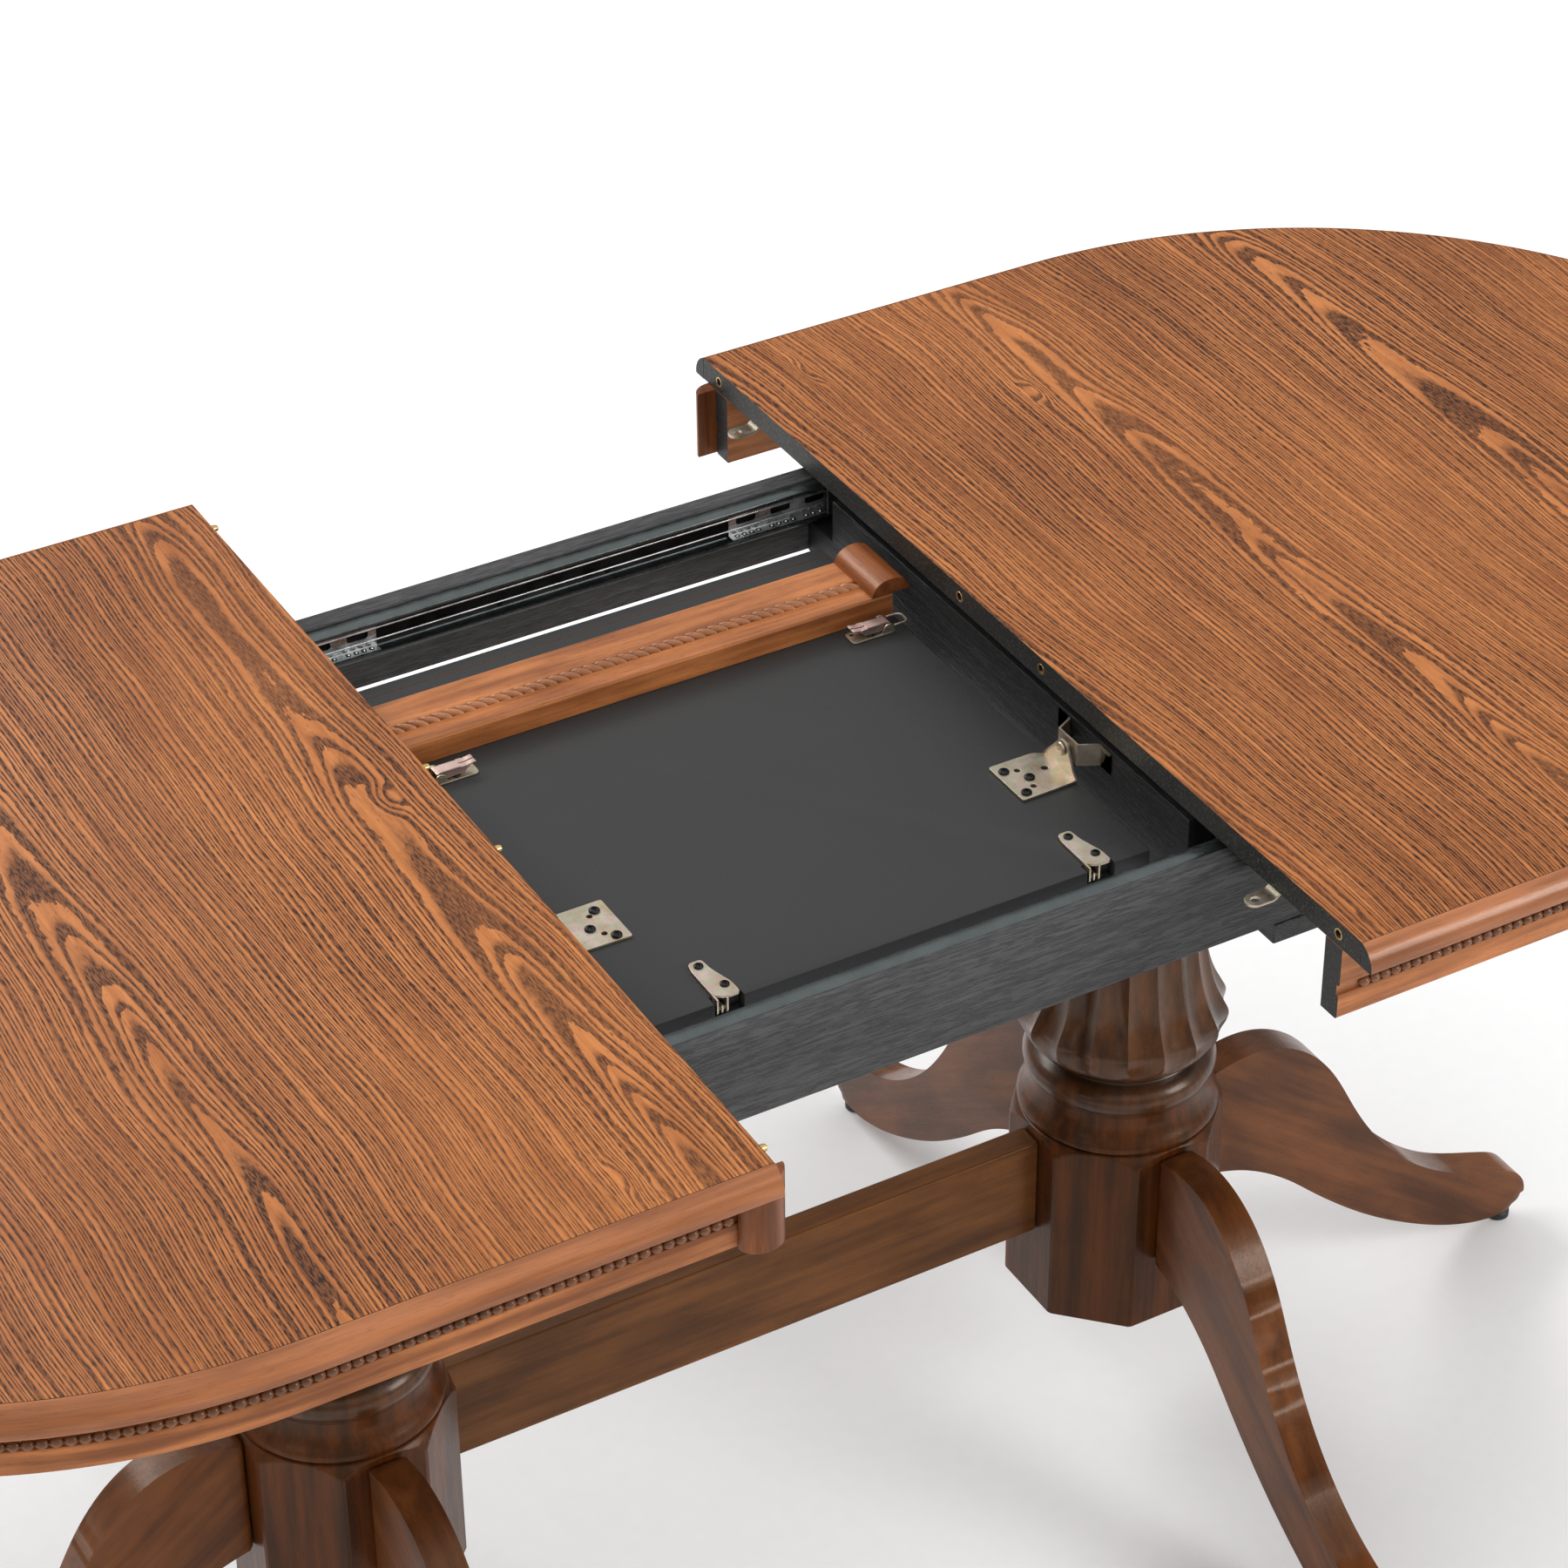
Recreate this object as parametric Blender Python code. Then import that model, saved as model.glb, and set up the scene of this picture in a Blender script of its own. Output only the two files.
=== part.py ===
"""Extendable dining table: two half tops on ball slides, and a butterfly leaf stored folded below them.

Metres, +Z up. The origin is on the floor, under the middle of the table. X runs along the table,
-Y is the near side. The halves are modelled drawn apart, with the folded leaf showing between them.
"""
import math

import bmesh
import bpy
from mathutils import Vector

# Driving dimensions
GAP = 0.0003                    # left between pieces that touch
TABLE_HEIGHT = 0.780
HALF_WIDTH = 0.450              # half of the table's width, mouldings included
PANEL_THICKNESS = 0.0185
MOULDING_REACH = 0.0125         # how far the edge moulding stands out from the veneered panel
STRAIGHT_LENGTH = 0.306         # straight part of each half's side, before its half circle
SEAM_OPEN = 0.2164              # distance of each half's seam from the middle when drawn apart
LEAF_HALF_WIDTH = 0.200         # the leaf's size along X, halved
APRON_OUTER = 0.4184            # distance of the apron's outer face from the centre line
APRON_THICKNESS = 0.0185
APRON_BOTTOM = 0.076            # depth below the table's surface
POST_HALF_WIDTH = 0.016
POST_DEPTH = 0.0125
RAIL_INNER = 0.277              # distance of the long rails' inner faces from the centre line
RAIL_THICKNESS = 0.021
RAIL_HALF_LENGTH = 0.470
FRAME_TOP = 0.027               # depths of the frame's top and bottom below the surface
FRAME_BOTTOM = 0.090
BEARER_BOTTOM = 0.107
PEDESTAL_X = 0.337              # distance of each pedestal's axis from the middle
BLOCK_APOTHEM = 0.0795          # half of the octagonal block's size across its flats
BLOCK_TOP = 0.484
BLOCK_BOTTOM = 0.652
LEG_THICKNESS = 0.029
PIVOT_Y = -0.111                # the line that the leaf swings about
PIVOT_DEPTH = 0.03725
FOLD_Y = -0.222                 # the edge where the leaf's two panels fold
LEAF_UNDERSIDE = 0.056          # depth of the upper panel's underside, which faces up in store

ARC_STEPS = 36                  # segments in each half circle of the top
ROUND_STEPS = 16                # segments in a small round

LEAF_THICKNESS = PANEL_THICKNESS
PANEL_REACH = HALF_WIDTH - MOULDING_REACH
ARC_CENTRE = SEAM_OPEN + STRAIGHT_LENGTH
FOLD_DEPTH = LEAF_UNDERSIDE + LEAF_THICKNESS + GAP
LEAF_TIP_Y = FOLD_Y + HALF_WIDTH
SIDES = {"near": -1, "far": 1}
ENDS = {"left": -1, "right": 1}

MATERIALS = {
    "veneer": ((0.42, 0.20, 0.085), 0.35, 0.0),
    "moulding_wood": ((0.16, 0.065, 0.025), 0.3, 0.0),
    "turned_wood": ((0.13, 0.055, 0.022), 0.32, 0.0),
    "frame_wood": ((0.02, 0.018, 0.017), 0.6, 0.0),
    "zinc_steel": ((0.42, 0.46, 0.5), 0.35, 1.0),
    "yellow_zinc": ((0.62, 0.52, 0.32), 0.35, 1.0),
    "wire": ((0.5, 0.5, 0.5), 0.3, 1.0),
}


def clear_scene():
    for item in list(bpy.data.objects):
        bpy.data.objects.remove(item)


def material(name):
    """The Principled material of that name, made the first time it is asked for."""
    found = bpy.data.materials.get(name)
    if found:
        return found
    colour, roughness, metallic = MATERIALS[name]
    made = bpy.data.materials.new(name)
    made.use_nodes = True
    shader = made.node_tree.nodes["Principled BSDF"]
    shader.inputs["Base Color"].default_value = (*colour, 1.0)
    shader.inputs["Roughness"].default_value = roughness
    shader.inputs["Metallic"].default_value = metallic
    return made


def down(depth):
    """Height above the floor of a depth below the table's surface."""
    return TABLE_HEIGHT - depth


def pivot(name, location, parent=None):
    """An empty on a joint's axis, which carries the pieces of one moving body."""
    empty = bpy.data.objects.new(name, None)
    empty.empty_display_size = 0.03
    bpy.context.collection.objects.link(empty)
    empty.location = location
    if parent:
        empty.parent = parent
        empty.location = Vector(location) - world_place(parent)
    return empty


def world_place(item):
    """Where an unrotated object or empty stands, through all its parents."""
    place = item.location.copy()
    while item.parent:
        item = item.parent
        place += item.location
    return place


def finish(name, shape, stuff, parent, turn=0.0, place=(0.0, 0.0, 0.0)):
    """Make a bmesh into a named object under its body's empty."""
    bmesh.ops.recalc_face_normals(shape, faces=shape.faces)
    shift = Vector((0.0, 0.0, 0.0)) if any(place) else world_place(parent)
    bmesh.ops.translate(shape, verts=shape.verts, vec=-shift)
    mesh = bpy.data.meshes.new(name)
    shape.to_mesh(mesh)
    shape.free()
    mesh.materials.append(material(stuff))
    mesh.shade_smooth()
    mesh.set_sharp_from_angle(angle=math.radians(35))
    item = bpy.data.objects.new(name, mesh)
    bpy.context.collection.objects.link(item)
    item.parent = parent
    item.location = Vector(place) - world_place(parent) if any(place) else (0.0, 0.0, 0.0)
    item.rotation_euler.z = turn
    return item


# Shape makers. Each returns a bmesh in world metres.

def prism(outline, low, high, along="z"):
    """Extrude a closed 2-D outline. along names the axis; the outline holds the other two, in order."""
    shape = bmesh.new()
    rings = []
    for level in (low, high):
        ring = []
        for a, b in outline:
            spot = {"x": (level, a, b), "y": (a, level, b), "z": (a, b, level)}[along]
            ring.append(shape.verts.new(spot))
        rings.append(ring)
    count = len(outline)
    shape.faces.new(rings[0])
    shape.faces.new(list(reversed(rings[1])))
    for k in range(count):
        nxt = (k + 1) % count
        shape.faces.new((rings[0][k], rings[1][k], rings[1][nxt], rings[0][nxt]))
    bmesh.ops.recalc_face_normals(shape, faces=shape.faces)
    return shape


def box(x, y, z):
    """A box between two values along each axis, given in either order."""
    outline = [(x[0], y[0]), (x[1], y[0]), (x[1], y[1]), (x[0], y[1])]
    return prism(outline, min(z), max(z))


def cylinder(centre, radius, low, high, along="z", steps=ROUND_STEPS):
    outline = []
    for k in range(steps):
        angle = math.tau * (k + 0.5) / steps
        outline.append((centre[0] + radius * math.cos(angle), centre[1] + radius * math.sin(angle)))
    return prism(outline, min(low, high), max(low, high), along)


def boolean(first, second, operation):
    """Union or difference of two closed shapes, as one new bmesh."""
    items = []
    for shape in (first, second):
        mesh = bpy.data.meshes.new("operand")
        shape.to_mesh(mesh)
        shape.free()
        item = bpy.data.objects.new("operand", mesh)
        bpy.context.collection.objects.link(item)
        items.append(item)
    modifier = items[0].modifiers.new("join", "BOOLEAN")
    modifier.operation = operation
    modifier.object = items[1]
    graph = bpy.context.evaluated_depsgraph_get()
    result = bmesh.new()
    result.from_mesh(items[0].evaluated_get(graph).to_mesh())
    for item in items:
        bpy.data.objects.remove(item)
    return result


def union(*shapes):
    whole = shapes[0]
    for shape in shapes[1:]:
        whole = boolean(whole, shape, "UNION")
    return whole


def cut(shape, *tools):
    for tool in tools:
        shape = boolean(shape, tool, "DIFFERENCE")
    return shape


def half_stations():
    """Plan stations round one half: (centre's x, angle), seam to seam, for the half at +X."""
    stations = [(SEAM_OPEN, -math.pi / 2)]
    for k in range(ARC_STEPS + 1):
        stations.append((ARC_CENTRE, -math.pi / 2 + math.pi * k / ARC_STEPS))
    stations.append((SEAM_OPEN, math.pi / 2))
    return stations


def around_half(end, section):
    """Sweep a section of (distance from the centre line, height) round one half's outline."""
    shape = bmesh.new()
    rings = []
    for centre, angle in half_stations():
        ring = []
        for reach, height in section:
            spot = (end * (centre + reach * math.cos(angle)), reach * math.sin(angle), height)
            ring.append(shape.verts.new(spot))
        rings.append(ring)
    count = len(section)
    for one, two in zip(rings, rings[1:]):
        for k in range(count):
            nxt = (k + 1) % count
            shape.faces.new((one[k], one[nxt], two[nxt], two[k]))
    shape.faces.new(rings[0])
    shape.faces.new(rings[-1])
    bmesh.ops.recalc_face_normals(shape, faces=shape.faces)
    return shape


def turned(centre_x, rings, flutes):
    """Turn (height, radius, flute depth) rings about a vertical axis; every second vertex is a hollow."""
    shape = bmesh.new()
    steps = 2 * flutes
    made = []
    for height, radius, depth in rings:
        ring = []
        for k in range(steps):
            angle = math.tau * k / steps
            reach = radius - depth * (k % 2)
            ring.append(shape.verts.new((centre_x + reach * math.cos(angle), reach * math.sin(angle), height)))
        made.append(ring)
    for one, two in zip(made, made[1:]):
        for k in range(steps):
            nxt = (k + 1) % steps
            shape.faces.new((one[k], one[nxt], two[nxt], two[k]))
    shape.faces.new(made[0])
    shape.faces.new(made[-1])
    bmesh.ops.recalc_face_normals(shape, faces=shape.faces)
    return shape


def smooth_through(knots, steps):
    """Points of a Catmull-Rom curve through the knots."""
    padded = [knots[0]] + list(knots) + [knots[-1]]
    points = []
    for a, b, c, d in zip(padded, padded[1:], padded[2:], padded[3:]):
        for k in range(steps):
            t = k / steps
            point = []
            for p, q, r, s in zip(a, b, c, d):
                bend = (2 * p - 5 * q + 4 * r - s) * t * t + (3 * q - p - 3 * r + s) * t ** 3
                point.append(0.5 * (2 * q + (r - p) * t + bend))
            points.append(tuple(point))
    points.append(tuple(knots[-1]))
    return points


# Tops

def moulding_section(reach, surface, sign=1):
    """Thumbnail edge: convex from the veneer down to its widest point, with a flat bottom."""
    inner = reach + GAP
    start = math.radians(28)
    step, round_top = 0.0016, 0.0004
    round_bottom = 0.0168
    rise = 1 - math.sin(start)
    section = [(inner, surface), (reach + 0.0012, surface)]
    for k in range(7):
        angle = start + (math.pi / 2 - start) * k / 6
        out = reach + step + (MOULDING_REACH - step) * (math.sin(angle) - math.sin(start)) / rise
        drop = round_top + (round_bottom - round_top) * (1 - math.cos(angle) / math.cos(start))
        section.append((out, surface - sign * drop))
    section.append((reach + MOULDING_REACH - 0.0009, surface - sign * PANEL_THICKNESS))
    section.append((inner, surface - sign * PANEL_THICKNESS))
    return section


def make_top(label, end, body):
    """Veneered half panel, square at its seam and half round at its end."""
    outline = []
    for centre, angle in half_stations():
        outline.append((end * (centre + PANEL_REACH * math.cos(angle)), PANEL_REACH * math.sin(angle)))
    finish(f"top_{label}", prism(outline, down(PANEL_THICKNESS), TABLE_HEIGHT), "veneer", body)
    edge = around_half(end, moulding_section(PANEL_REACH, TABLE_HEIGHT))
    finish(f"moulding_{label}", edge, "moulding_wood", body)


def apron_profile():
    """(distance outward from the inner face, depth below the apron's top edge), with the bead groove."""
    height = APRON_BOTTOM - PANEL_THICKNESS - GAP
    groove_top, groove_bottom, groove_depth = 0.0299, 0.0378, 0.0022
    floor = APRON_THICKNESS - groove_depth
    return [
        (0.0, 0.0), (APRON_THICKNESS, 0.0), (APRON_THICKNESS, groove_top), (floor, groove_top),
        (floor, groove_bottom), (APRON_THICKNESS, groove_bottom), (APRON_THICKNESS, height), (0.0, height),
    ]


def make_apron(label, end, body):
    """Apron under the half top, following its outline, with the post that covers the joint."""
    inner = APRON_OUTER - APRON_THICKNESS
    top = down(PANEL_THICKNESS + GAP)
    section = [(inner + out, top - drop) for out, drop in apron_profile()]
    finish(f"apron_{label}", around_half(end, section), "moulding_wood", body)
    side = end
    base_y = side * (APRON_OUTER + GAP)
    outline = half_round(end * SEAM_OPEN, base_y, side)
    finish(f"post_{label}", prism(outline, down(APRON_BOTTOM), top), "moulding_wood", body)


def half_round(centre, base, sign):
    """Half-round outline standing out from a base line."""
    outline = []
    steps = 12
    for k in range(steps + 1):
        angle = math.pi * k / steps
        depth = POST_DEPTH * math.sin(angle)
        outline.append((centre + POST_HALF_WIDTH * math.cos(angle), base + sign * depth))
    return outline


TAB_PLACES = {
    # where each catch strip lies across the table
    ("left", "near"): -0.354, ("left", "far"): 0.348,
    ("right", "near"): -0.328, ("right", "far"): 0.375,
}


def make_tabs(label, end, body):
    """Cranked catch strips that reach past the seam, for the leaf's latches to hook on."""
    thick, half = 0.0022, 0.0068
    under = down(PANEL_THICKNESS + GAP)
    low = down(0.0335)
    path = [(0.300, under), (0.240, under), (0.2225, low), (0.204, low)]
    for side in SIDES:
        middle = TAB_PLACES[(label, side)]
        outline = [(end * x, z) for x, z in path] + [(end * x, z - thick) for x, z in reversed(path)]
        strip = prism(outline, middle - half, middle + half, along="y")
        hole = cylinder((end * 0.211, middle), 0.0032, low - 0.01, low + 0.01, steps=12)
        corner = 0.005
        strip = cut(strip, hole)
        for turn in (-1, 1):
            beyond, cut_x, edge = end * 0.203, end * (0.204 + corner), middle + turn * half
            tip = [(beyond, edge + turn * 0.001), (cut_x, edge + turn * 0.001), (cut_x, edge)]
            tip += [(end * 0.2039, edge - turn * corner), (beyond, edge - turn * corner)]
            strip = cut(strip, prism(tip, low - 0.01, low + 0.01))
        finish(f"tab_{label}_{side}", strip, "zinc_steel", body)


# Slides: a fixed channel on each rail, a ball cage, and the member screwed under each half top

SLIDE_TOP = 0.0275
SLIDE_BOTTOM = 0.058
SLIDE_BACK = RAIL_INNER - GAP
CAGE_LENGTH = 0.300
MEMBER_LENGTH = 0.400


def along_rail(section, side, x):
    """Bar along X with a section of (distance from the centre line, depth below the surface)."""
    outline = [(side * y, down(depth)) for y, depth in section]
    return prism(outline, min(x), max(x), along="x")


def make_outer_slide(label, side, body):
    web, lip, reach = 0.0017, 0.0015, 0.264
    section = [
        (SLIDE_BACK, SLIDE_TOP), (reach, SLIDE_TOP), (reach, SLIDE_TOP + lip),
        (SLIDE_BACK - web, SLIDE_TOP + lip), (SLIDE_BACK - web, SLIDE_BOTTOM - lip),
        (reach, SLIDE_BOTTOM - lip), (reach, SLIDE_BOTTOM), (SLIDE_BACK, SLIDE_BOTTOM),
    ]
    finish(f"slide_outer_{label}", along_rail(section, side, (-0.450, 0.450)), "zinc_steel", body)


def make_cable(label, side, body):
    """Endless wire that makes the two halves move together."""
    wire, spread, turn_x, middle = 0.0009, 0.005, 0.430, 0.043
    plane_y = side * 0.2715
    points = []
    for centre, first in ((turn_x, -math.pi / 2), (-turn_x, math.pi / 2)):
        for k in range(9):
            angle = first + math.pi * k / 8
            height = down(middle) + spread * math.sin(angle)
            points.append((centre + spread * math.cos(angle), plane_y, height))
    curve = bpy.data.curves.new(f"cable_{label}", "CURVE")
    curve.dimensions = "3D"
    curve.bevel_depth = wire
    curve.bevel_resolution = 2
    curve.resolution_u = 1
    spline = curve.splines.new("POLY")
    spline.points.add(len(points) - 1)
    for point, spot in zip(spline.points, points):
        point.co = (*spot, 1.0)
    spline.use_cyclic_u = True
    curve.materials.append(material("wire"))
    item = bpy.data.objects.new(f"cable_{label}", curve)
    bpy.context.collection.objects.link(item)
    item.parent = body


def make_cage(label, side_label, end, side, body):
    """Ball retainer: a thin channel with a row of windows."""
    back, flange, top, bottom, thin = 0.2742, 0.2665, 0.030, 0.0545, 0.0008
    section = [
        (back, top), (flange, top), (flange, top + thin), (back - thin, top + thin),
        (back - thin, bottom - thin), (flange, bottom - thin), (flange, bottom), (back, bottom),
    ]
    start = 0.147
    shape = along_rail(section, side, (end * start, end * (start + CAGE_LENGTH)))
    windows = 5
    pitch = CAGE_LENGTH / windows
    for k in range(windows):
        middle = start + pitch * (k + 0.5)
        span = (end * (middle - 0.019), end * (middle + 0.019))
        window = box(span, (side * (back - 0.002), side * (back + 0.001)), (down(0.046), down(0.039)))
        shape = cut(shape, window)
    finish(f"cage_{label}_{side_label}", shape, "zinc_steel", body)


def make_member(label, side_label, end, side, body):
    """Moving slide member: a channel facing the rail, with a flange for the screws into the half top."""
    top = PANEL_THICKNESS + GAP
    flange, web, lip = 0.236, 0.262, 0.267
    thin = 0.002
    upper, lower = 0.0325, 0.0525
    section = [
        (flange, top), (web, top), (web, upper), (lip, upper), (lip, upper + thin), (web, upper + thin),
        (web, lower - thin), (lip, lower - thin), (lip, lower), (web - thin, lower), (web - thin, top + thin),
        (flange, top + thin),
    ]
    start = SEAM_OPEN + 0.0096
    shape = along_rail(section, side, (end * start, end * (start + MEMBER_LENGTH)))
    finish(f"slide_inner_{label}_{side_label}", shape, "zinc_steel", body)


# Frame

def make_frame(body):
    """Two long rails, two cross rails notched for the slides, and a bearer over each pedestal."""
    top, bottom = down(FRAME_TOP), down(FRAME_BOTTOM)
    rail_outer = RAIL_INNER + RAIL_THICKNESS
    ease = 0.004
    for label, side in SIDES.items():
        section = [
            (side * RAIL_INNER, bottom), (side * rail_outer, bottom), (side * rail_outer, top - ease),
            (side * (rail_outer - ease), top), (side * RAIL_INNER, top),
        ]
        rail = prism(section, -RAIL_HALF_LENGTH, RAIL_HALF_LENGTH, along="x")
        finish(f"rail_{label}", rail, "frame_wood", body)
    inner = RAIL_INNER - GAP
    notch, notch_floor = 0.240, down(0.062)
    cross = [
        (-inner, bottom), (inner, bottom), (inner, notch_floor), (notch, notch_floor), (notch, top),
        (-notch, top), (-notch, notch_floor), (-inner, notch_floor),
    ]
    for label, end in ENDS.items():
        near_x, far_x = sorted((end * 0.218, end * 0.238))
        finish(f"cross_{label}", prism(cross, near_x, far_x, along="x"), "frame_wood", body)
        levels = (bottom - GAP, down(BEARER_BOTTOM))
        bearer = box((end * 0.252, end * 0.422), (-rail_outer, rail_outer), levels)
        finish(f"bearer_{label}", bearer, "frame_wood", body)


# Pedestals

FLUTES = 18
COLUMN_KNOTS = (
    # depth below the surface, radius, flute depth
    (0.1073, 0.076, 0.0), (0.122, 0.076, 0.0), (0.128, 0.068, 0.0), (0.140, 0.056, 0.0), (0.146, 0.054, 0.001),
    (0.170, 0.053, 0.003), (0.240, 0.055, 0.003), (0.300, 0.060, 0.003), (0.338, 0.065, 0.0035),
    (0.362, 0.071, 0.0035), (0.378, 0.0785, 0.004), (0.388, 0.083, 0.004), (0.398, 0.0805, 0.003),
    (0.408, 0.075, 0.002), (0.416, 0.068, 0.0), (0.418, 0.063, 0.0), (0.423, 0.068, 0.0), (0.430, 0.0745, 0.0),
    (0.436, 0.0755, 0.0), (0.444, 0.073, 0.0), (0.449, 0.0715, 0.0), (0.460, 0.0740, 0.0), (0.472, 0.0774, 0.0),
    (0.4775, 0.0792, 0.0), (0.4797, 0.0772, 0.0), (0.4840, 0.076, 0.0), (0.490, 0.070, 0.0),
)


def octagon(apothem):
    radius = apothem / math.cos(math.pi / 8)
    corners = []
    for k in range(8):
        angle = math.pi / 8 + k * math.pi / 4
        corners.append((radius * math.cos(angle), radius * math.sin(angle)))
    return corners


def block(centre_x):
    """Octagonal block with eased rims."""
    ease = 0.0035
    levels = (
        (BLOCK_APOTHEM - ease, down(BLOCK_TOP)), (BLOCK_APOTHEM, down(BLOCK_TOP + ease)),
        (BLOCK_APOTHEM, down(BLOCK_BOTTOM - ease)), (BLOCK_APOTHEM - ease, down(BLOCK_BOTTOM)),
    )
    shape = bmesh.new()
    rings = []
    for apothem, height in levels:
        rings.append([shape.verts.new((centre_x + x, y, height)) for x, y in octagon(apothem)])
    for one, two in zip(rings, rings[1:]):
        for k in range(8):
            nxt = (k + 1) % 8
            shape.faces.new((one[k], one[nxt], two[nxt], two[k]))
    shape.faces.new(rings[0])
    shape.faces.new(rings[-1])
    bmesh.ops.recalc_face_normals(shape, faces=shape.faces)
    return shape


def make_pedestal(label, end, body):
    """Column and octagonal block, turned from one laminated blank."""
    centre = end * PEDESTAL_X
    rings = [(down(depth), radius, flute) for depth, radius, flute in COLUMN_KNOTS]
    finish(f"pedestal_{label}", union(turned(centre, rings, FLUTES), block(centre)), "turned_wood", body)


LEG_TOP = (
    # distance from the pedestal's axis, height above the floor
    (0.0798, 0.293), (0.112, 0.3005), (0.145, 0.296), (0.177, 0.277), (0.205, 0.242), (0.232, 0.189),
    (0.270, 0.135), (0.321, 0.092), (0.377, 0.069), (0.405, 0.057), (0.418, 0.037), (0.415, 0.013),
)
LEG_UNDERSIDE = (
    (0.386, 0.013), (0.355, 0.020), (0.313, 0.037), (0.254, 0.072), (0.199, 0.117), (0.160, 0.154),
    (0.118, 0.181), (0.0798, 0.192),
)


def leg_shape():
    """Swept leg with rounded edges and a round glide under its toe, pointing along +X from the axis."""
    outline = smooth_through(LEG_TOP, 3) + smooth_through(LEG_UNDERSIDE, 2)
    half = LEG_THICKNESS / 2
    shape = prism(outline, -half, half, along="y")
    rims = []
    for edge in shape.edges:
        one, two = edge.verts
        if abs(one.co.y - two.co.y) < GAP:
            rims.append(edge)
    bmesh.ops.bevel(shape, geom=rims, offset=0.006, segments=2, profile=0.5, affect="EDGES")
    glide = cylinder((0.403, 0.0), 0.010, 0.0, 0.018)
    return union(shape, glide)


def make_legs(label, end, body):
    """Three legs on each block: one outward, one to the near side, one to the far side."""
    turns = {"end": 0.0 if end > 0 else math.pi, "near": -math.pi / 2, "far": math.pi / 2}
    for name, turn in turns.items():
        finish(f"leg_{label}_{name}", leg_shape(), "turned_wood", body, turn, (end * PEDESTAL_X, 0.0, 0.0))


def make_stretcher(body):
    reach = PEDESTAL_X - BLOCK_APOTHEM - GAP
    beam = box((-reach, reach), (-0.0115, 0.0115), (down(0.579), down(0.490)))
    bmesh.ops.bevel(beam, geom=list(beam.edges), offset=0.002, segments=1, profile=0.5, affect="EDGES")
    finish("stretcher", beam, "turned_wood", body)


# Leaf

HINGE_X = {"left": 0.128, "right": 0.1605}      # middle of each fold hinge from the centre
HINGE_HALF_WIDTH = 0.0095
RECESS_DEPTH = 0.014


def panel_box(upper):
    """Depth range of one leaf panel, and the way its underside faces."""
    if upper:
        return LEAF_UNDERSIDE, LEAF_UNDERSIDE + LEAF_THICKNESS, 1
    top = LEAF_UNDERSIDE + LEAF_THICKNESS + 2 * GAP - 0.0001
    return top + LEAF_THICKNESS, top, -1


def make_leaf_panel(label, upper, body):
    """One veneered panel of the leaf, recessed at its folding edge for the hinges, with its end moulding."""
    underside, veneer, facing = panel_box(upper)
    end_y = LEAF_TIP_Y - MOULDING_REACH
    fold_y = FOLD_Y + GAP
    panel = box((-LEAF_HALF_WIDTH, LEAF_HALF_WIDTH), (fold_y, end_y), (down(underside), down(veneer)))
    clear = 0.0015
    for end_label, end in ENDS.items():
        middle = end * HINGE_X[end_label]
        span = (middle - HINGE_HALF_WIDTH - clear, middle + HINGE_HALF_WIDTH + clear)
        floor = down(underside) - facing * RECESS_DEPTH
        levels = (down(underside) + facing * 0.001, floor)
        panel = cut(panel, box(span, (fold_y - 0.001, fold_y + 0.0085), levels))
    finish(f"leaf_panel_{label}", panel, "veneer", body)
    section = moulding_section(end_y, down(veneer), -facing)
    edge = prism(section, -LEAF_HALF_WIDTH, LEAF_HALF_WIDTH, along="x")
    finish(f"leaf_moulding_{label}", edge, "moulding_wood", body)


def make_leaf_apron(label, upper, body):
    """Apron piece that lies flat on the panel in store, with the post that covers one joint."""
    underside, _, facing = panel_box(upper)
    back = down(underside) + facing * 0.0005
    hinge_y = FOLD_Y + APRON_OUTER - APRON_THICKNESS
    section = [(hinge_y - drop, back + facing * out) for out, drop in apron_profile()]
    board = prism(section, -LEAF_HALF_WIDTH, LEAF_HALF_WIDTH, along="x")
    end = facing
    outline = half_round(end * 0.199, back + facing * (APRON_THICKNESS - 0.0004), facing)
    height = apron_profile()[-1][1]
    post = prism(outline, hinge_y - height + 0.0004, hinge_y - 0.0004, along="y")
    bmesh.ops.recalc_face_normals(post, faces=post.faces)
    finish(f"leaf_apron_{label}", union(board, post), "moulding_wood", body)


PLATE_REACH = {"left": 0.151, "right": 0.155}   # inner edge of each pivot plate


def make_pivot_plate(label, end, body):
    """Plate under the leaf with a bent-up triangular ear that turns on the pivot pin."""
    base = down(LEAF_UNDERSIDE) + GAP
    thick = 0.002
    ear_in, ear_out = 0.199, 0.201
    plate = box((end * PLATE_REACH[label], end * ear_out), (-0.131, -0.085), (base, base + thick))
    pivot_z = down(PIVOT_DEPTH)
    outline = [(-0.131, base), (-0.091, base)]
    for k in range(9):
        angle = math.radians(20 + 140 * k / 8)
        outline.append((PIVOT_Y + 0.007 * math.cos(angle), pivot_z + 0.007 * math.sin(angle)))
    ear = prism(outline, *sorted((end * ear_in, end * ear_out)), along="x")
    span = (end * (ear_in - 0.002), end * (ear_out + 0.002))
    hole = cylinder((PIVOT_Y, pivot_z), 0.0036, *span, along="x", steps=12)
    finish(f"pivot_plate_{label}", cut(union(plate, ear), hole), "yellow_zinc", body)


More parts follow.
